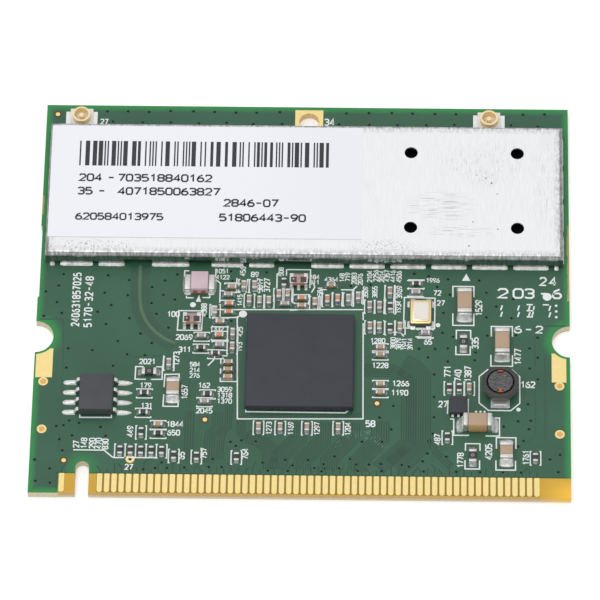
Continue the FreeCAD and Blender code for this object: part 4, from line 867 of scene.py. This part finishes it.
holeFinish = {
    "dark": (0.006, 0.016, 0.011), "rim": (0.020, 0.085, 0.047), "goldDull": (0.86, 0.50, 0.20),
    "dotRing": (0.075, 0.055, 0.018),
}
# painted shade: a near-black disc stands for the shaded inside of each via's hole and of the test point's
# hole
holeShade = mouldMaterial("paintedHoleShade", holeFinish["dark"], 0.8, 9.0, 0.01, 0.3, 0.15)
viaRim = mouldMaterial("viaRim", holeFinish["rim"], 0.35, 5.0, 0.01, 0.15)
dotRing = mouldMaterial("dotRing", holeFinish["dotRing"], 0.5, 6.0)
pasteGold = metalMaterial("filledHole", holeFinish["goldDull"], 0.38, 5.0, 0.2, 0.03)

viaSettings = {
    "rings": [(0.253, 0.0), (0.176, 0.022), (0.14, 0.0176), (0.133, 0.016)],  # radius, height
    "sides": 12,
    "spots": [
        (-28.9, 0.4), (-27.5, 1.2), (-27.6, -1), (-27, -2.4), (-29, -2.8), (-22.3, 0.3), (-21.5, -1.3),
        (-23, -2.2), (-22, -3.8), (-19.7, 0), (-19.4, -3), (-19.6, 2), (-17, 1.1), (-15.7, 0.1),
        (-14.4, -0.5), (-17, -1), (-16.4, -2.4), (-15.6, 2), (-15, -4.2), (-18.1, -5), (-16.8, -6.2),
        (-20.6, -6), (-23.4, -7.2), (-26.1, -7), (-19.5, -7.7), (-17.5, -7.8), (-21, -9.2), (-26.2, -9.5),
        (-22, 2.6), (-27, 2.7), (-24.5, -16.6), (-25.6, -16.3), (-22.1, -17.1), (-27, -17), (-21.5, -18.2),
        (-25.2, -18.2), (-26.2, -20.1), (-26.2, -16.9), (-26.6, -18.7), (-29.2, -21.3), (-27.5, -22.4),
        (-29, -24), (-27.4, -24.2), (-17.2, -22.4), (-15.9, -22.2), (-14.6, -22.2), (-12.7, -22.1),
        (-20.1, -11.5), (16.2, 2.5), (19.7, 2.4), (20.5, 0.8), (21.6, -1), (20.5, -2.4), (23.3, -2.5),
        (23.5, 0), (16.4, 0.5), (15, 1.5), (15.7, -1.9), (15.6, -4.5), (16.8, -5), (16.2, -6.5),
        (14.8, -6.6), (13, -6.6), (14, -7.7), (14.7, -9.9), (16.2, -8.2), (19.2, -8), (19.3, -7),
        (20.6, -4.8), (23.8, -4.7), (25.3, -6.4), (26.2, -5), (26.2, -7.6), (25.3, -9), (26.2, -10.4),
        (14.7, -12.8), (14.7, -15.4), (14.6, -17.5), (22.4, -16.5), (25.2, -16.8), (24, -15.8),
        (25.4, -15.7), (24, -19), (14, -20), (13.5, -21), (12, -21.7), (13.6, -22.3), (16.1, -20.4),
        (17.2, -22.3), (19.8, -22.3), (22.3, -22.3), (24.3, -22.3), (28.6, -20), (27.5, -20.6),
        (28.4, -22.2), (25.1, -13.6), (24.6, -18.3), (10, -17), (8.7, -15.5), (10.2, -14), (-7.7, -18.8),
        (-6.5, -18.6), (-7.1, -19.3), (-12, -21.6), (-11.3, -21.2), (-10, -22), (-8.6, -22), (-9.6, -21),
        (-15.2, -21.5), (-1.6, -21), (-0.8, -21.7), (-1.3, -22.4), (-3.5, -22.4), (-4.1, -21.4), (0.9, -21),
        (1.6, -22), (2.6, -21.5), (3.8, -20.5), (2.4, -22.4), (4.3, -22), (5.5, -20.8), (6.2, -21.5),
        (6.4, -22.3), (7.6, -21.5), (8.9, -21.4), (9, -22.3), (9, -18.6), (6.8, -18.6), (11.2, -21.5),
        (-4.9, -18.7), (12.4, 3.2), (-4.2, 3.2), (-8.2, 3.3), (-8, 2), (-9.3, 3.9), (-14.2, 2.8), (-8, -3.2),
        (-10.7, -2.6), (5.3, 1.5), (7.5, 1.7), (14, 2.9),
    ],
    # rows behind the shield: y, first x, step of each row, last x, stretches left free
    "back": {
        "y": (24.7, 23.2), "from": (-22.9, -22.2), "step": (2.55, 3.3), "to": 28.8,
        "free": [(-2.4, 2.4), (18.6, 22.9)], "shift": 0.1, "spread": (0.92, 1.05),
    },
}


def vias(s):
    places, back, chance = list(s["spots"]), s["back"], random.Random(4)
    for y, start, step in zip(back["y"], back["from"], back["step"]):
        x = start
        while x < back["to"]:
            if not any(a < x < b for a, b in back["free"]):
                places.append((x, y + chance.uniform(-back["shift"], back["shift"])))
            x += step * chance.uniform(*back["spread"])
    shape, sides = Shape(), s["sides"]
    for x, y in places:
        points = [(*spot, boardTop + z) for radius, z in s["rings"] for spot in around(x, y, radius, sides)]
        shape.add(points, ringFaces(3, sides), 0)
        shape.add(points[2 * sides:], ringFaces(2, sides) + [tuple(range(sides, 2 * sides))], 1)
    shape.piece("via_holes", [viaRim, holeShade], "laminate", smooth=True)


platedSettings = {
    "rings": [(-28.7, -11.3), (-28.6, -17.4), (28.6, -11.25), (28.6, -17.4)], "ring": (0.54, 0.33),
    "dots": [(-28.55, 24.2), (-26.0, -21.35), (-10.6, -16.0), (8.4, -13.7)], "dot": 0.25, "dotRing": 1.9,
    "test": (-18.7, -21.1, 0.5, 0.2),
    "plating": 0.03, "dotPlating": 0.02, "filling": 0.006, "testHole": 0.004,  # heights
}


def platedSpots(s):
    shape = Shape()
    outer, inner = s["ring"]
    low, high = boardTop + s["dotPlating"], boardTop + s["plating"]
    for x, y in s["rings"]:
        shape.disc(x, y, outer, boardTop, high, 28, 0)
        shape.disc(x, y, inner, high, boardTop + (s["plating"] + s["filling"]), 24, 1)
    for x, y in s["dots"]:
        shape.disc(x, y, s["dot"] * s["dotRing"], boardTop, low, 20, 3)
        shape.disc(x, y, s["dot"], low, high, 20, 0)
    x, y, outer, inner = s["test"]
    shape.disc(x, y, outer, boardTop, high, 28, 0)
    # the test point's hole: a dark disc of painted shade
    shape.disc(x, y, inner, high, boardTop + (s["plating"] + s["testHole"]), 16, 2)
    shape.piece("test_points", [gold, pasteGold, holeShade, dotRing], "gold_plate")


traceSettings = {
    "gap": (0.015, 0.058, 0.036), "track": (0.075, 0.150, 0.085), "stepTone": (0.024, 0.086, 0.048),
    "height": 0.003, "gapShare": 0.42, "edgeWidth": 0.2,
    "bundles": [  # centre line, number of tracks, pitch
        ([(11.1, -8.6), (12.2, -9.2), (13.0, -10.2), (13.0, -18.8), (12.0, -20.2), (10.4, -21.8)], 11, 0.26),
        ([(6.95, -9.4), (10.0, -9.4), (11.9, -11.0), (11.9, -18.6), (10.6, -20.0), (8.6, -22.0)], 7, 0.26),
        ([(14.3, -18.2), (14.9, -19.8), (16.6, -21.6)], 3, 0.3), ([(-12.3, -14.9), (-12.3, -21.3)], 4, 0.3),
        ([(-9.2, -15.0), (-9.2, -17.2), (-10.0, -18.0), (-10.0, -21.5)], 5, 0.26),
        ([(-8.0, -12.6), (-8.0, -16.9), (-8.7, -17.6), (-8.9, -21.0)], 4, 0.24),
        ([(-5.9, -18.1), (-4.6, -18.4), (-3.4, -19.6), (-3.2, -22.2)], 7, 0.26),
        ([(-0.3, -16.2), (-0.3, -18.4), (-2.2, -20.6), (-2.4, -22.2)], 8, 0.26),
        ([(2.4, -16.2), (2.4, -18.6), (0.3, -21.0), (0.2, -22.2)], 8, 0.26),
        ([(5.6, -16.2), (5.6, -18.0), (3.2, -21.0), (3.1, -22.2)], 8, 0.26),
        ([(8.8, -16.0), (8.8, -18.2), (6.4, -21.2), (6.3, -22.3)], 8, 0.27),
        ([(-5.6, -15.2), (7.0, -15.2)], 3, 0.22), ([(-6.6, -15.4), (-6.6, -17.4), (-5.8, -18.3)], 5, 0.22),
    ],
    "edges": [
        [(-29.5, -3.2), (-26.8, -3.2), (-26.6, -8.1), (-26.6, -20.2), (-20.6, -20.15)],
        [(-19.7, -8.1), (-13.2, -7.7), (-12.5, -8.3), (-12.3, -15.8)],
        [(29.3, -3.4), (25.9, -3.5), (25.9, -17.6), (24.8, -18.6)], [(27.0, -7.1), (27.0, -18.0)],
    ],
    # short tracks that run up from the contacts
    "stubs": {"length": (0.3, 1.4), "width": 0.13, "leans": (-0.4, 0, 0, 0.4), "rise": 0.1},
    "aerial": [
        (-18.4, 4.0), (-18.38, 1.0), (-18.3, -0.6), (-18.1, -1.9), (-17.7, -3.0), (-17.1, -4.0),
        (-16.4, -4.8), (-15.4, -5.6), (-14.2, -6.2),
    ],
    "aerialBand": 2.1, "aerialTrack": 0.36, "aerialRise": 0.012,
}
traceGap, traceTrack, traceStep = (
    mouldMaterial(name, traceSettings[tone], 0.33, 5.0, 0.006, 0.15)
    for name, tone in (("maskOverGap", "gap"), ("maskOverTrack", "track"), ("maskStep", "stepTone")))


def beside(line, offset):  # the same line, moved sideways
    points, moved = [Vector(p) for p in line], []
    for i, here in enumerate(points):
        arms = [(points[j + 1] - points[j]).normalized() for j in (i - 1, i) if 0 <= j < len(points) - 1]
        across = leftOf(sum(arms, Vector((0, 0))).normalized())
        moved.append(here + across * (offset / abs(leftOf(arms[0]).dot(across))))
    return [tuple(p) for p in moved]


def traces(s):
    shape = Shape()
    top = boardTop + s["height"]
    for line, count, pitch in s["bundles"]:
        for i in range(count):
            track = beside(line, (i - (count - 1) / 2) * pitch)
            shape.stroke(track, pitch * s["gapShare"], boardTop, top, 0)
    chance, stubs = random.Random(8), s["stubs"]
    for low, high in islands("edge_contacts_top"):
        x, turn = (low.x + high.x) / 2, high.y + chance.uniform(*stubs["length"])
        lean = chance.choice(stubs["leans"])
        line = [(x, high.y), (x, turn), (x + lean, turn + abs(lean) + stubs["rise"])]
        shape.stroke(line, stubs["width"], boardTop, top, 0)
    for line in s["edges"]:
        shape.stroke(line, s["edgeWidth"], boardTop, top, 2)
    shape.stroke(s["aerial"], s["aerialBand"], boardTop, top, 2)
    shape.stroke(s["aerial"], s["aerialTrack"], boardTop, top + s["aerialRise"], 1)
    shape.piece("buried_traces", [traceGap, traceTrack, traceStep], "laminate")


vias(viaSettings)
platedSpots(platedSettings)
traces(traceSettings)
print("holes and traces")


# contact fingers with rounded ends

fingerSettings = {
    "width": 0.58, "top": -22.95, "bottom": -25.3, "corner": 0.26, "chamfer": 0.06,
    "turn": (1.57, 1.1, 0.6, 0.0),  # angles of the points on a rounded corner
    "heights": {"top": (0.95, 1.005), "bottom": (-0.005, 0.05)},
}


def fingerOutline(x, s):
    half, r, cut, top = s["width"] / 2, s["corner"], s["chamfer"], s["top"]
    rounded = [(x + (half - r) * side + r * math.sin(a) * side, s["bottom"] + r - r * math.cos(a))
               for side, angles in ((-1, s["turn"]), (1, s["turn"][::-1])) for a in angles]
    corners = [(x + half, top - cut), (x + half - cut, top), (x - half + cut, top), (x - half, top - cut)]
    return rounded + corners


def fingers(s):
    for face, (low, high) in s["heights"].items():
        shape = Shape()
        for lowest, highest in islands(f"edge_contacts_{face}"):
            shape.slab(fingerOutline((lowest.x + highest.x) / 2, s), low, high, floor=True)
        shape.piece(f"contact_fingers_{face}", gold, "gold_plate", (f"edge_contacts_{face}",))


fingers(fingerSettings)
print("contact fingers")


# label print: bars and plain numbers

labelInk = inkMaterial("labelInk", inkFinish["label"], 0.55, 0.15)
labelSettings = {
    "low": 3.06, "high": 3.068, "bars": (-25.7, 15.95, 2.6, 19.3), "unit": 0.165, "widths": (1, 1, 2, 3),
    "numberShape": (0.23, 1.3, 0.8),  # weight of the strokes, width and pitch as shares of the height
    "rows": [  # text, x, y, height
        ("204", -24.35, 14.35, 0.86), ("-", -22.0, 14.35, 0.86), ("703518840162", -15.9, 14.35, 0.86),
        ("35", -24.9, 12.55, 0.86), ("-", -23.0, 12.55, 0.86), ("4071850063827", -15.4, 12.55, 0.86),
        ("2846-07", -6.1, 11.1, 0.86), ("620584013975", -20.9, 9.15, 0.80),
        ("51806443-90", -4.75, 9.15, 0.86),
    ],
}


def labelPrint(s):
    shape, chance, unit = Shape(), random.Random(21), s["unit"]
    left, low, right, high = s["bars"]

    def bar(start, end):
        shape.slab([(start, low), (end, low), (end, high), (start, high)], s["low"], s["high"])

    while left < right - 3 * unit:
        wide = unit * chance.choice(s["widths"])
        bar(left, left + wide)
        left += wide + unit * chance.choice(s["widths"])
    bar(right - unit * 2, right)
    for text, x, y, height in s["rows"]:
        write(shape, text, x, y, height, s["low"], s["high"], False, *s["numberShape"])
    shape.piece("label_print", labelInk, "label_paper")


labelPrint(labelSettings)
print("label print")


# chips: rounded bodies and ends, with curved solder at each end

chipSettings = {
    "lilac": [
        (-8.4, 0.1), (-9.9, -2.0), (-4.9, -0.6), (-3.9, -0.6), (5.1, -0.3), (-10.7, -13.8), (12.8, 0.8),
        (13.4, -4.6), (-2.0, -1.1), (-9.0, 1.2), (-11.2, -5.2), (-7.7, -4.7), (-9.2, -6.4),
    ],
    "dark": [(-11.2, -6.95), (-9.5, -7.65)],
    "lilacReach": (0.7, 0.5), "darkReach": (0.7, 0.4),  # how near a face has to be
    "paintedFrontLight": 0.8, "plainTint": 0.12, "tints": (0.05, 0.55),  # places on the ramp of colours
    "large": 0.06,  # radius of the edges from which a part counts as large
    "slimmer": {"medium_capacitor": (0.64, 0.60)},  # these show smaller than their solids
}
chipRows = [  # stem of the nodes' names, slot, radius of the edges, reach and rise of the solder
    ("small_capacitor", "capacitor_ceramic", 0.04, 0.30, 0.42),
    ("small_resistor", "resistor_glaze", 0.03, 0.26, 0.32),
    ("small_coil", "coil_ceramic", 0.05, 0.30, 0.42),
    ("medium_resistor", "resistor_glaze", 0.035, 0.5, 0.4),
    ("medium_capacitor", "capacitor_ceramic", 0.05, 0.3, 0.6),
    ("memory_capacitor", "capacitor_ceramic", 0.08, 0.68, 0.75),
    ("output_capacitor", "capacitor_ceramic", 0.08, 0.68, 0.75),
    ("upper_tank_capacitor", "capacitor_ceramic", 0.1, 0.7, 1.0),
    ("lower_tank_capacitor", "capacitor_ceramic", 0.1, 0.7, 1.0),
    ("tall_tank_capacitor", "capacitor_ceramic", 0.12, 0.72, 1.3),
]
filletShape = {
    "rows": 6, "columns": 7, "hollow": 2.2, "foot": 0.03, "swell": 0.10, "narrow": 0.12, "bulge": 0.10,
    "tuck": 0.02, "corners": 0.06, "sag": 0.25,
}


def chipTint(stem, large, s):
    def near(centre, name):
        wide, deep = s[f"{name}Reach"]
        return any(abs(centre.x - x) < wide and abs(centre.y - y) < deep for x, y in s[name])

    def tint(face):
        centre = face.center / mm
        if near(centre, "lilac"):
            return 1.0
        if near(centre, "dark"):
            return 0.0
        # painted light: front faces take their own place on the ramp, for how the light falls on them
        if face.normal.y < -0.6:  # a front face
            return s["paintedFrontLight"]
        chance = random.Random(f"{stem}{round(centre.x * 0.8)}{round(centre.y * 0.8)}")
        return s["plainTint"] if large else chance.uniform(*s["tints"])
    return tint


def slimmed(spot, middles, factors):  # the spot, moved towards the middle of its own part
    middle = min(middles, key=lambda m: (m - spot).length)
    x, y = (middle[k] + (spot[k] - middle[k]) * factors[k] for k in (0, 1))
    return Vector((x, y, spot.z))


def fillet(shape, edge, outward, width, reach, rise, number=0):  # solder in a hollow curve up an end
    s = filletShape
    rows, columns, points, along = s["rows"], s["columns"], [], leftOf(outward)
    for i in range(rows):
        t = i / (rows - 1)
        z = rise * (1 - t) ** s["hollow"] + s["foot"] * (1 - t ** 6)
        half = width / 2 * (1.0 + s["swell"] * math.sin(t * math.pi * 0.6)) * (1 - s["narrow"] * t ** 5)
        for j in range(columns):
            u = 2 * j / (columns - 1) - 1
            bulge = reach * (s["bulge"] * (1 - u * u)) * t
            out = reach * t - s["tuck"] * (1 - t) + bulge - s["corners"] * t * u ** 4
            spot = edge + outward * out + along * (half * u)
            points.append((spot.x, spot.y, boardTop + z * (1 - s["sag"] * abs(u) ** 5)))
    faces, count = gridFaces(rows, columns), len(points)
    rim = [j for j in range(columns)] + [i * columns + columns - 1 for i in range(1, rows)]
    rim += [(rows - 1) * columns + j for j in range(columns - 2, -1, -1)]
    rim += [i * columns for i in range(rows - 2, 0, -1)]
    points += [(points[k][0], points[k][1], boardTop) for k in rim]
    for k, here in enumerate(rim):  # a skirt from the rim down to the board
        j = (k + 1) % len(rim)
        faces.append((count + k, count + j, rim[j], here))
    shape.add(points, faces, number)


def chips(s):
    joints = Shape()
    for stem, slotName, radius, reach, rise in chipRows:
        body = f"{stem}_bodies" if f"{stem}_bodies" in nodes else f"{stem}_body"
        ends, large = f"{stem}_ends", radius > s["large"]
        core = softened(f"{stem}_core", body, finishes[slotName], slotName, radius, chipTint(stem, large, s))
        caps = softened(f"{stem}_caps", ends, chipEnd, "chip_terminal", radius)
        middles = [(low + high) / 2 for low, high in islands(body)]
        factors = s["slimmer"].get(stem, (1, 1))
        if factors != (1, 1):
            for vertex in [*core.data.vertices, *caps.data.vertices]:
                vertex.co = slimmed(vertex.co / mm, middles, factors) * mm
        for low, high in islands(ends):
            middle = (low + high) / 2
            away = middle - min(middles, key=lambda m: (m - middle).length)
            alongX = abs(away.x) > abs(away.y)
            outward = Vector((math.copysign(1, away.x), 0) if alongX else (0, math.copysign(1, away.y)))
            size = Vector(((high - low).x * factors[0], (high - low).y * factors[1]))
            edge = slimmed(middle, middles, factors).xy + outward * (abs(size.dot(outward)) / 2)
            width = abs(size.dot(leftOf(outward))) * 1.02
            fillet(joints, edge, outward, width, reach, rise, 0 if large else 1)
    return joints


jointSettings = {
    # folded leads: y of each, x and reach of the feet at the left and right, half width and rise
    "leads": (-15.23, -13.96, -12.69, -11.42), "left": (-25.0, 1.45), "right": (-20.35, 1.65),
    "foot": (0.33, 0.22), "footFall": 0.45, "footEdge": 0.05, "footBase": 0.004,
    "crystal": {"x": (12.28, 14.06), "y": (-0.52, -3.72), "middle": 13.17, "half": 1.2, "inset": 0.3},
    "filter": {"x": (-12.98, -10.33), "front": 0.47, "middle": 1.47, "half": 0.37},
    "transformer": {"columns": (0.18, 1.0, 1.82), "rim": 0.42, "gap": 0.02},
    "coil": (22.03, -13.75),
    # width, reach and rise of each kind of joint
    "sizes": {"crystal": (0.62, 0.42, 0.16), "crystalSide": (0.8, 0.34, 0.12), "filter": (0.74, 0.36, 0.5),
              "filterSide": (1.9, 0.2, 0.5), "transformer": (0.36, 0.42, 0.62), "coil": (1.7, 0.4, 0.3)},
}


def leadFoot(shape, x, y, side, reach, s):  # solder round a folded lead's foot, pointed at the right
    half, rise = s["foot"]
    rows, columns, points = 8, 7, []
    for i in range(rows):
        t = math.sin(i / (rows - 1) * math.pi / 2)
        narrow = (1 - t ** 3.5) ** 0.8 if side > 0 else (1 - t ** 7) ** 0.6
        for j in range(columns):
            u = 2 * j / (columns - 1) - 1
            z = boardTop + rise * (1 - u ** 4) * (1 - s["footFall"] * t) * max(s["footEdge"], 1 - t ** 6)
            points.append((x + side * reach * t, y + half * narrow * u, z + s["footBase"]))
    shape.add(points, gridFaces(rows, columns, side > 0))


def joinery(s):
    joints = chips(chipSettings)

    def joint(kind, x, y, outX, outY):
        fillet(joints, Vector((x, y)), Vector((outX, outY)), *s["sizes"][kind])

    for y in s["leads"]:
        for side, (x, reach) in ((-1, s["left"]), (1, s["right"])):
            leadFoot(joints, x, y, side, reach, s)
    crystal, radioFilter, transformer = s["crystal"], s["filter"], s["transformer"]
    for x in crystal["x"]:
        for y, side in zip(crystal["y"], (1, -1)):
            joint("crystal", x, y, 0, side)
            out = math.copysign(1, x - crystal["middle"])
            spot = crystal["middle"] + out * crystal["half"]
            joint("crystalSide", spot, y - side * crystal["inset"], out, 0)
    for x, side in zip(radioFilter["x"], (-1, 1)):
        joint("filter", x, radioFilter["front"], 0, -1)
        joint("filterSide", x + side * radioFilter["half"], radioFilter["middle"], side, 0)
    for low, high in islands("transformer_bodies"):
        for column in transformer["columns"]:
            x = low.x - transformer["rim"] + column
            joint("transformer", x, low.y - transformer["gap"], 0, -1)
            joint("transformer", x, high.y + transformer["gap"], 0, 1)
    joint("coil", *s["coil"], 0, -1)
    joints.piece("solder_fillets", [solder, shadedSmallSolder], "solder", ("solder_joints",), smooth=True)


joinery(jointSettings)
print("chips and solder")


# larger parts: softened edges

softParts = [  # name, node, material, slot, radius of the edges
    ("processor_cover", "processor_body", mould, "mould_compound", 0.06),
    ("memory_cover", "memory_chip_body", memoryMould, "mould_compound", 0.06),
    ("memory_leads", "memory_chip_leads", tinnedLead, "tinned_lead", 0.035),
    ("regulator_cover", "regulator_body", mould, "mould_compound", 0.05),
    ("coil_ring", "inductor_ring", ferrite, "ferrite", 0.12),
    ("crystal_lid_plate", "crystal_lid", lidGold, "crystal_lid_metal", 0.03),
    ("crystal_gold_rim", "crystal_rim", gold, "gold_plate", 0.05),
    ("filter_block", "radio_filter_body", lilacCeramic, "lilac_ceramic", 0.06),
    ("filter_wings", "radio_filter_terminals", chipEnd, "chip_terminal", 0.1),
    ("left_socket_moulding", "left_socket_base", whiteMoulding, "white_moulding", 0.06),
    ("right_socket_moulding", "right_socket_base", whiteMoulding, "white_moulding", 0.06),
]
edgeSettings = {"padEnds": (-29.62, 29.38), "ringWaist": 0.84, "ringFrom": 1.7, "ringWall": 0.93}
larger = {part[0]: softened(*part) for part in softParts}


def drawIn(piece, s):  # the ring's outer wall slopes in towards the board
    low, high = islands("inductor_ring")[0]
    middle, reach = (low + high) / 2, (high.x - low.x) / 2 * s["ringWall"]
    for vertex in piece.data.vertices:
        spot = vertex.co / mm
        if spot.z < s["ringFrom"] and (spot - middle).xy.length > reach:
            x, y = (middle[k] + (spot[k] - middle[k]) * s["ringWaist"] for k in (0, 1))
            vertex.co = Vector((x, y, spot.z)) * mm


def sidePads(s):  # the same pads, cut a little inside the board's edge
    shape = bmesh.new()
    shape.from_mesh(nodes["side_ground_pads"].data)
    for end in s["padEnds"]:
        geometry = shape.verts[:] + shape.edges[:] + shape.faces[:]
        cut = bmesh.ops.bisect_plane(shape, geom=geometry, plane_co=(end * mm, 0, 0), plane_no=(end, 0, 0),
                                     clear_outer=True)["geom_cut"]
        bmesh.ops.edgeloop_fill(shape, edges=[e for e in cut if isinstance(e, bmesh.types.BMEdge)])
    mesh = bpy.data.meshes.new("side_pads")
    shape.to_mesh(mesh)
    shape.free()
    addPiece("side_pads", mesh, gold, ("side_ground_pads",))


drawIn(larger["coil_ring"], edgeSettings)
sidePads(edgeSettings)
sockets = [f"{side}_socket_{part}" for side in ("left", "right") for part in ("shell", "pin")]
keptShapes = {"inductor_drum": drumFace, "processor_lands": landShadow, **dict.fromkeys(sockets, socketGold)}
for name, material in keptShapes.items():
    for held in nodes[name].material_slots:
        held.material = material
print("larger parts")


# solder along the shield's feet, uneven like hand work

footSettings = {
    "reach": 0.32, "sideReach": 0.15, "rise": 0.15, "step": 0.3, "uneven": 0.14, "rows": 5,
    "hollow": 1.3, "skin": 0.05, "tuck": 0.01, "lowest": 0.3, "even": 0.75, "square": 40,
    "middle": 10,  # y between the front and back feet
}


def footStrip(shape, low, high, chance, s):  # one foot's solder: a slope from the wall out to the board
    size = high - low
    alongX, length = size.x > size.y, max(size.x, size.y)
    atFront, atLeft = low.y < s["middle"], low.x < 0
    if alongX:
        wall = Vector(((low.x + high.x) / 2, high.y if atFront else low.y))
        outward = Vector((0, -1 if atFront else 1))
    else:
        wall = Vector((high.x if atLeft else low.x, (low.y + high.y) / 2))
        outward = Vector((-1 if atLeft else 1, 0))
    along = leftOf(outward)
    rows, columns, points = s["rows"], max(4, int(length / s["step"])), []
    swell = [1 + chance.uniform(-s["uneven"], s["uneven"]) for _ in range(columns + 1)]
    for i in range(rows + 1):
        t = i / rows
        for j in range(columns + 1):
            u = 2 * j / columns - 1
            ends = (1 - abs(u) ** s["square"]) * swell[j]
            reach = s["reach" if alongX else "sideReach"] * t * (s["even"] + (1 - s["even"]) * ends)
            spot = wall + outward * (reach - s["tuck"]) + along * (length / 2 * u)
            rise = s["rise"] * (1 - t) ** s["hollow"] * max(s["lowest"], ends) + s["skin"] * (1 - t ** 4)
            points.append((spot.x, spot.y, boardTop + rise))
    shape.add(points, gridFaces(rows + 1, columns + 1, True))
    for j in (0, columns):  # its ends, of which the second takes the wrong points and stays open
        last = shape.points[-len(points):]
        side = [last[i * (columns + 1) + j] for i in range(rows + 1)]
        corner = (points[j][0], wall.y, boardTop) if alongX else (wall.x, points[j][1], boardTop)
        shape.add(side + [corner], [tuple(range(rows + 2))])


def feet(s):
    shape, chance = Shape(), random.Random(12)
    for low, high in islands("shield_solder"):
        footStrip(shape, low, high, chance, s)
    shape.piece("shield_foot_solder", footSolder, "solder", ("shield_solder",), smooth=True)


feet(footSettings)
print("shield solder")


# faces of the two transformers and the radio filter, and marks on the larger resistors

faceSettings = {
    "window": (0.055, 0.036, 0.036), "ridge": (0.36, 0.26, 0.24), "arch": (0.42, 0.20, 0.14),
    "archFoot": (0.045, 0.026, 0.02), "silver": (0.82, 0.79, 0.75), "spot": (0.52, 0.40, 0.40),
    "filterWindow": (0.42, 0.12, 0.06), "mark": (0.38, 0.34, 0.34), "rim": 0.42,
    "windows": ((-12.36, -11.90), (-11.46, -10.98)), "windowFront": ((0.29, 0.34), (1.02, 1.68)),
    "filterSpot": (-12.0, 0.62, 0.09, 2.1, 2.106), "markSizes": ((0.19, 0.006, 16), (0.11, 0.003, 14)),
}


def transformerFace(shape, low, high, rim):  # all measures from the transformer's own sides
    left, right, front, back, top = low.x - rim, high.x + rim, low.y, high.y, high.z + 0.02
    middle = (left + right) / 2
    shape.block((left + 0.45, right - 0.45), (back - 0.42, back), (top - 0.02, top), 1)
    shape.block((left + 0.5, right - 0.5), (back - 0.11, back - 0.03), (top, top + 0.006), 0)
    shape.block((left + 0.13, right - 0.13), (front + 0.1, back - 0.45), (top, top + 0.012), 0)
    shape.block((middle - 0.22, middle + 0.2), (front + 0.02, back - 0.4), (top, top + 0.02), 1)
    shape.disc(middle - 0.04, (front + back) / 2 - 0.1, 0.06, top, top + 0.024, 12, 0)
    shape.disc(left + 0.42, (front + back) / 2 - 0.1, 0.1, top, top + 0.02, 14, 5)
    shape.block((left + 0.38, right - 0.38), (front - 0.03, front + 0.09), (top - 0.2, top + 0.008), 2)
    for start in (left + 0.38, left + 1.2):
        column = (start, start + 0.42)
        shape.block(column, (front - 0.035, front + 0.02), (1.45, top), 2)
        shape.block(column, (front - 0.036, front + 0.02), (1.0, 1.45), 3)
        shape.block(column, (back - 0.02, back + 0.035), (1.0, top - 0.05), 3)
    for y in (front, back):
        shape.block((middle - 0.19, middle + 0.19), (y - 0.05, y + 0.05), (1.0, top - 0.12), 4)


def partFaces(s):
    shape = Shape()
    for low, high in islands("transformer_bodies"):
        transformerFace(shape, low, high, s["rim"])
    for across in s["windows"]:
        shape.block(across, *s["windowFront"], 6)
    shape.disc(*s["filterSpot"], 12, 5)
    names = ("window", "ridge", "arch", "archFoot")
    made = [mouldMaterial(name, s[name], 0.4, 7.0, 0.01, 0.5) for name in names]
    made.append(metalMaterial("terminalSilver", s["silver"], 0.35, 4.0, 0.2, 0.02, 0.7, 0.7))
    made += [mouldMaterial("spot", s["spot"]), mouldMaterial("filterWindow", s["filterWindow"], 0.35)]
    shape.piece("transformer_faces", made, "transformer_ceramic")
    marks = Shape()
    for low, high in islands("medium_resistor_bodies"):
        z = high.z
        for number, (radius, thick, sides) in enumerate(s["markSizes"]):
            marks.disc((low.x + high.x) / 2, (low.y + high.y) / 2, radius, z, z + thick, sides, number)
            z += thick
    marks.piece("resistor_marks", [mouldMaterial("resistorMark", s["mark"]), glaze], "resistor_glaze")


partFaces(faceSettings)
print("part faces")


# copper at the coil's notches, the crystal's raised lid and the plated wall of the screw hole

smallSettings = {
    "wire": (0.62, 0.17, 0.07), "wall": (0.86, 0.62, 0.30),
    "wireEnds": [  # outline, height over the drum
        ([(21.74, -13.10), (22.32, -13.10), (22.12, -12.66), (21.94, -12.66)], 0.012),
        ([(21.72, -10.46), (22.36, -10.46), (22.30, -10.30), (21.78, -10.30)], 0.004),
    ],
    "wireLow": 2.2, "lid": ((12.42, 13.96), (-3.22, -1.02), (1.745, 1.764)),
    "hole": (0.24, 23.475, 1.148), "holeSides": 40,
}


def smallPieces(s):
    wire, drumTop = Shape(), islands("inductor_drum")[0][1].z
    for outline, over in s["wireEnds"]:
        wire.slab(outline, s["wireLow"], drumTop + over)
    copper = metalMaterial("wireEnds", s["wire"], 0.3, 8.0, 0.2, 0.03, 0.5, 0.6)
    wire.piece("coil_wire_ends", copper, "copper_wire")
    lid = Shape()
    lid.block(*s["lid"])
    lid.piece("crystal_lid_raised", crystalLidMetal, "crystal_lid_metal")
    wall, count = Shape(), s["holeSides"]
    points = [(*spot, z) for z in (0.0, boardTop + 0.03) for spot in around(*s["hole"], count)]
    wall.add(points, [(i, count + i, count + (i + 1) % count, (i + 1) % count) for i in range(count)])
    plating = metalMaterial("holePlating", s["wall"], 0.4, 3.0, metallic=0.7)
    wall.piece("screw_hole_plating", plating, "gold_plate", smooth=True)


smallPieces(smallSettings)
print("small pieces")
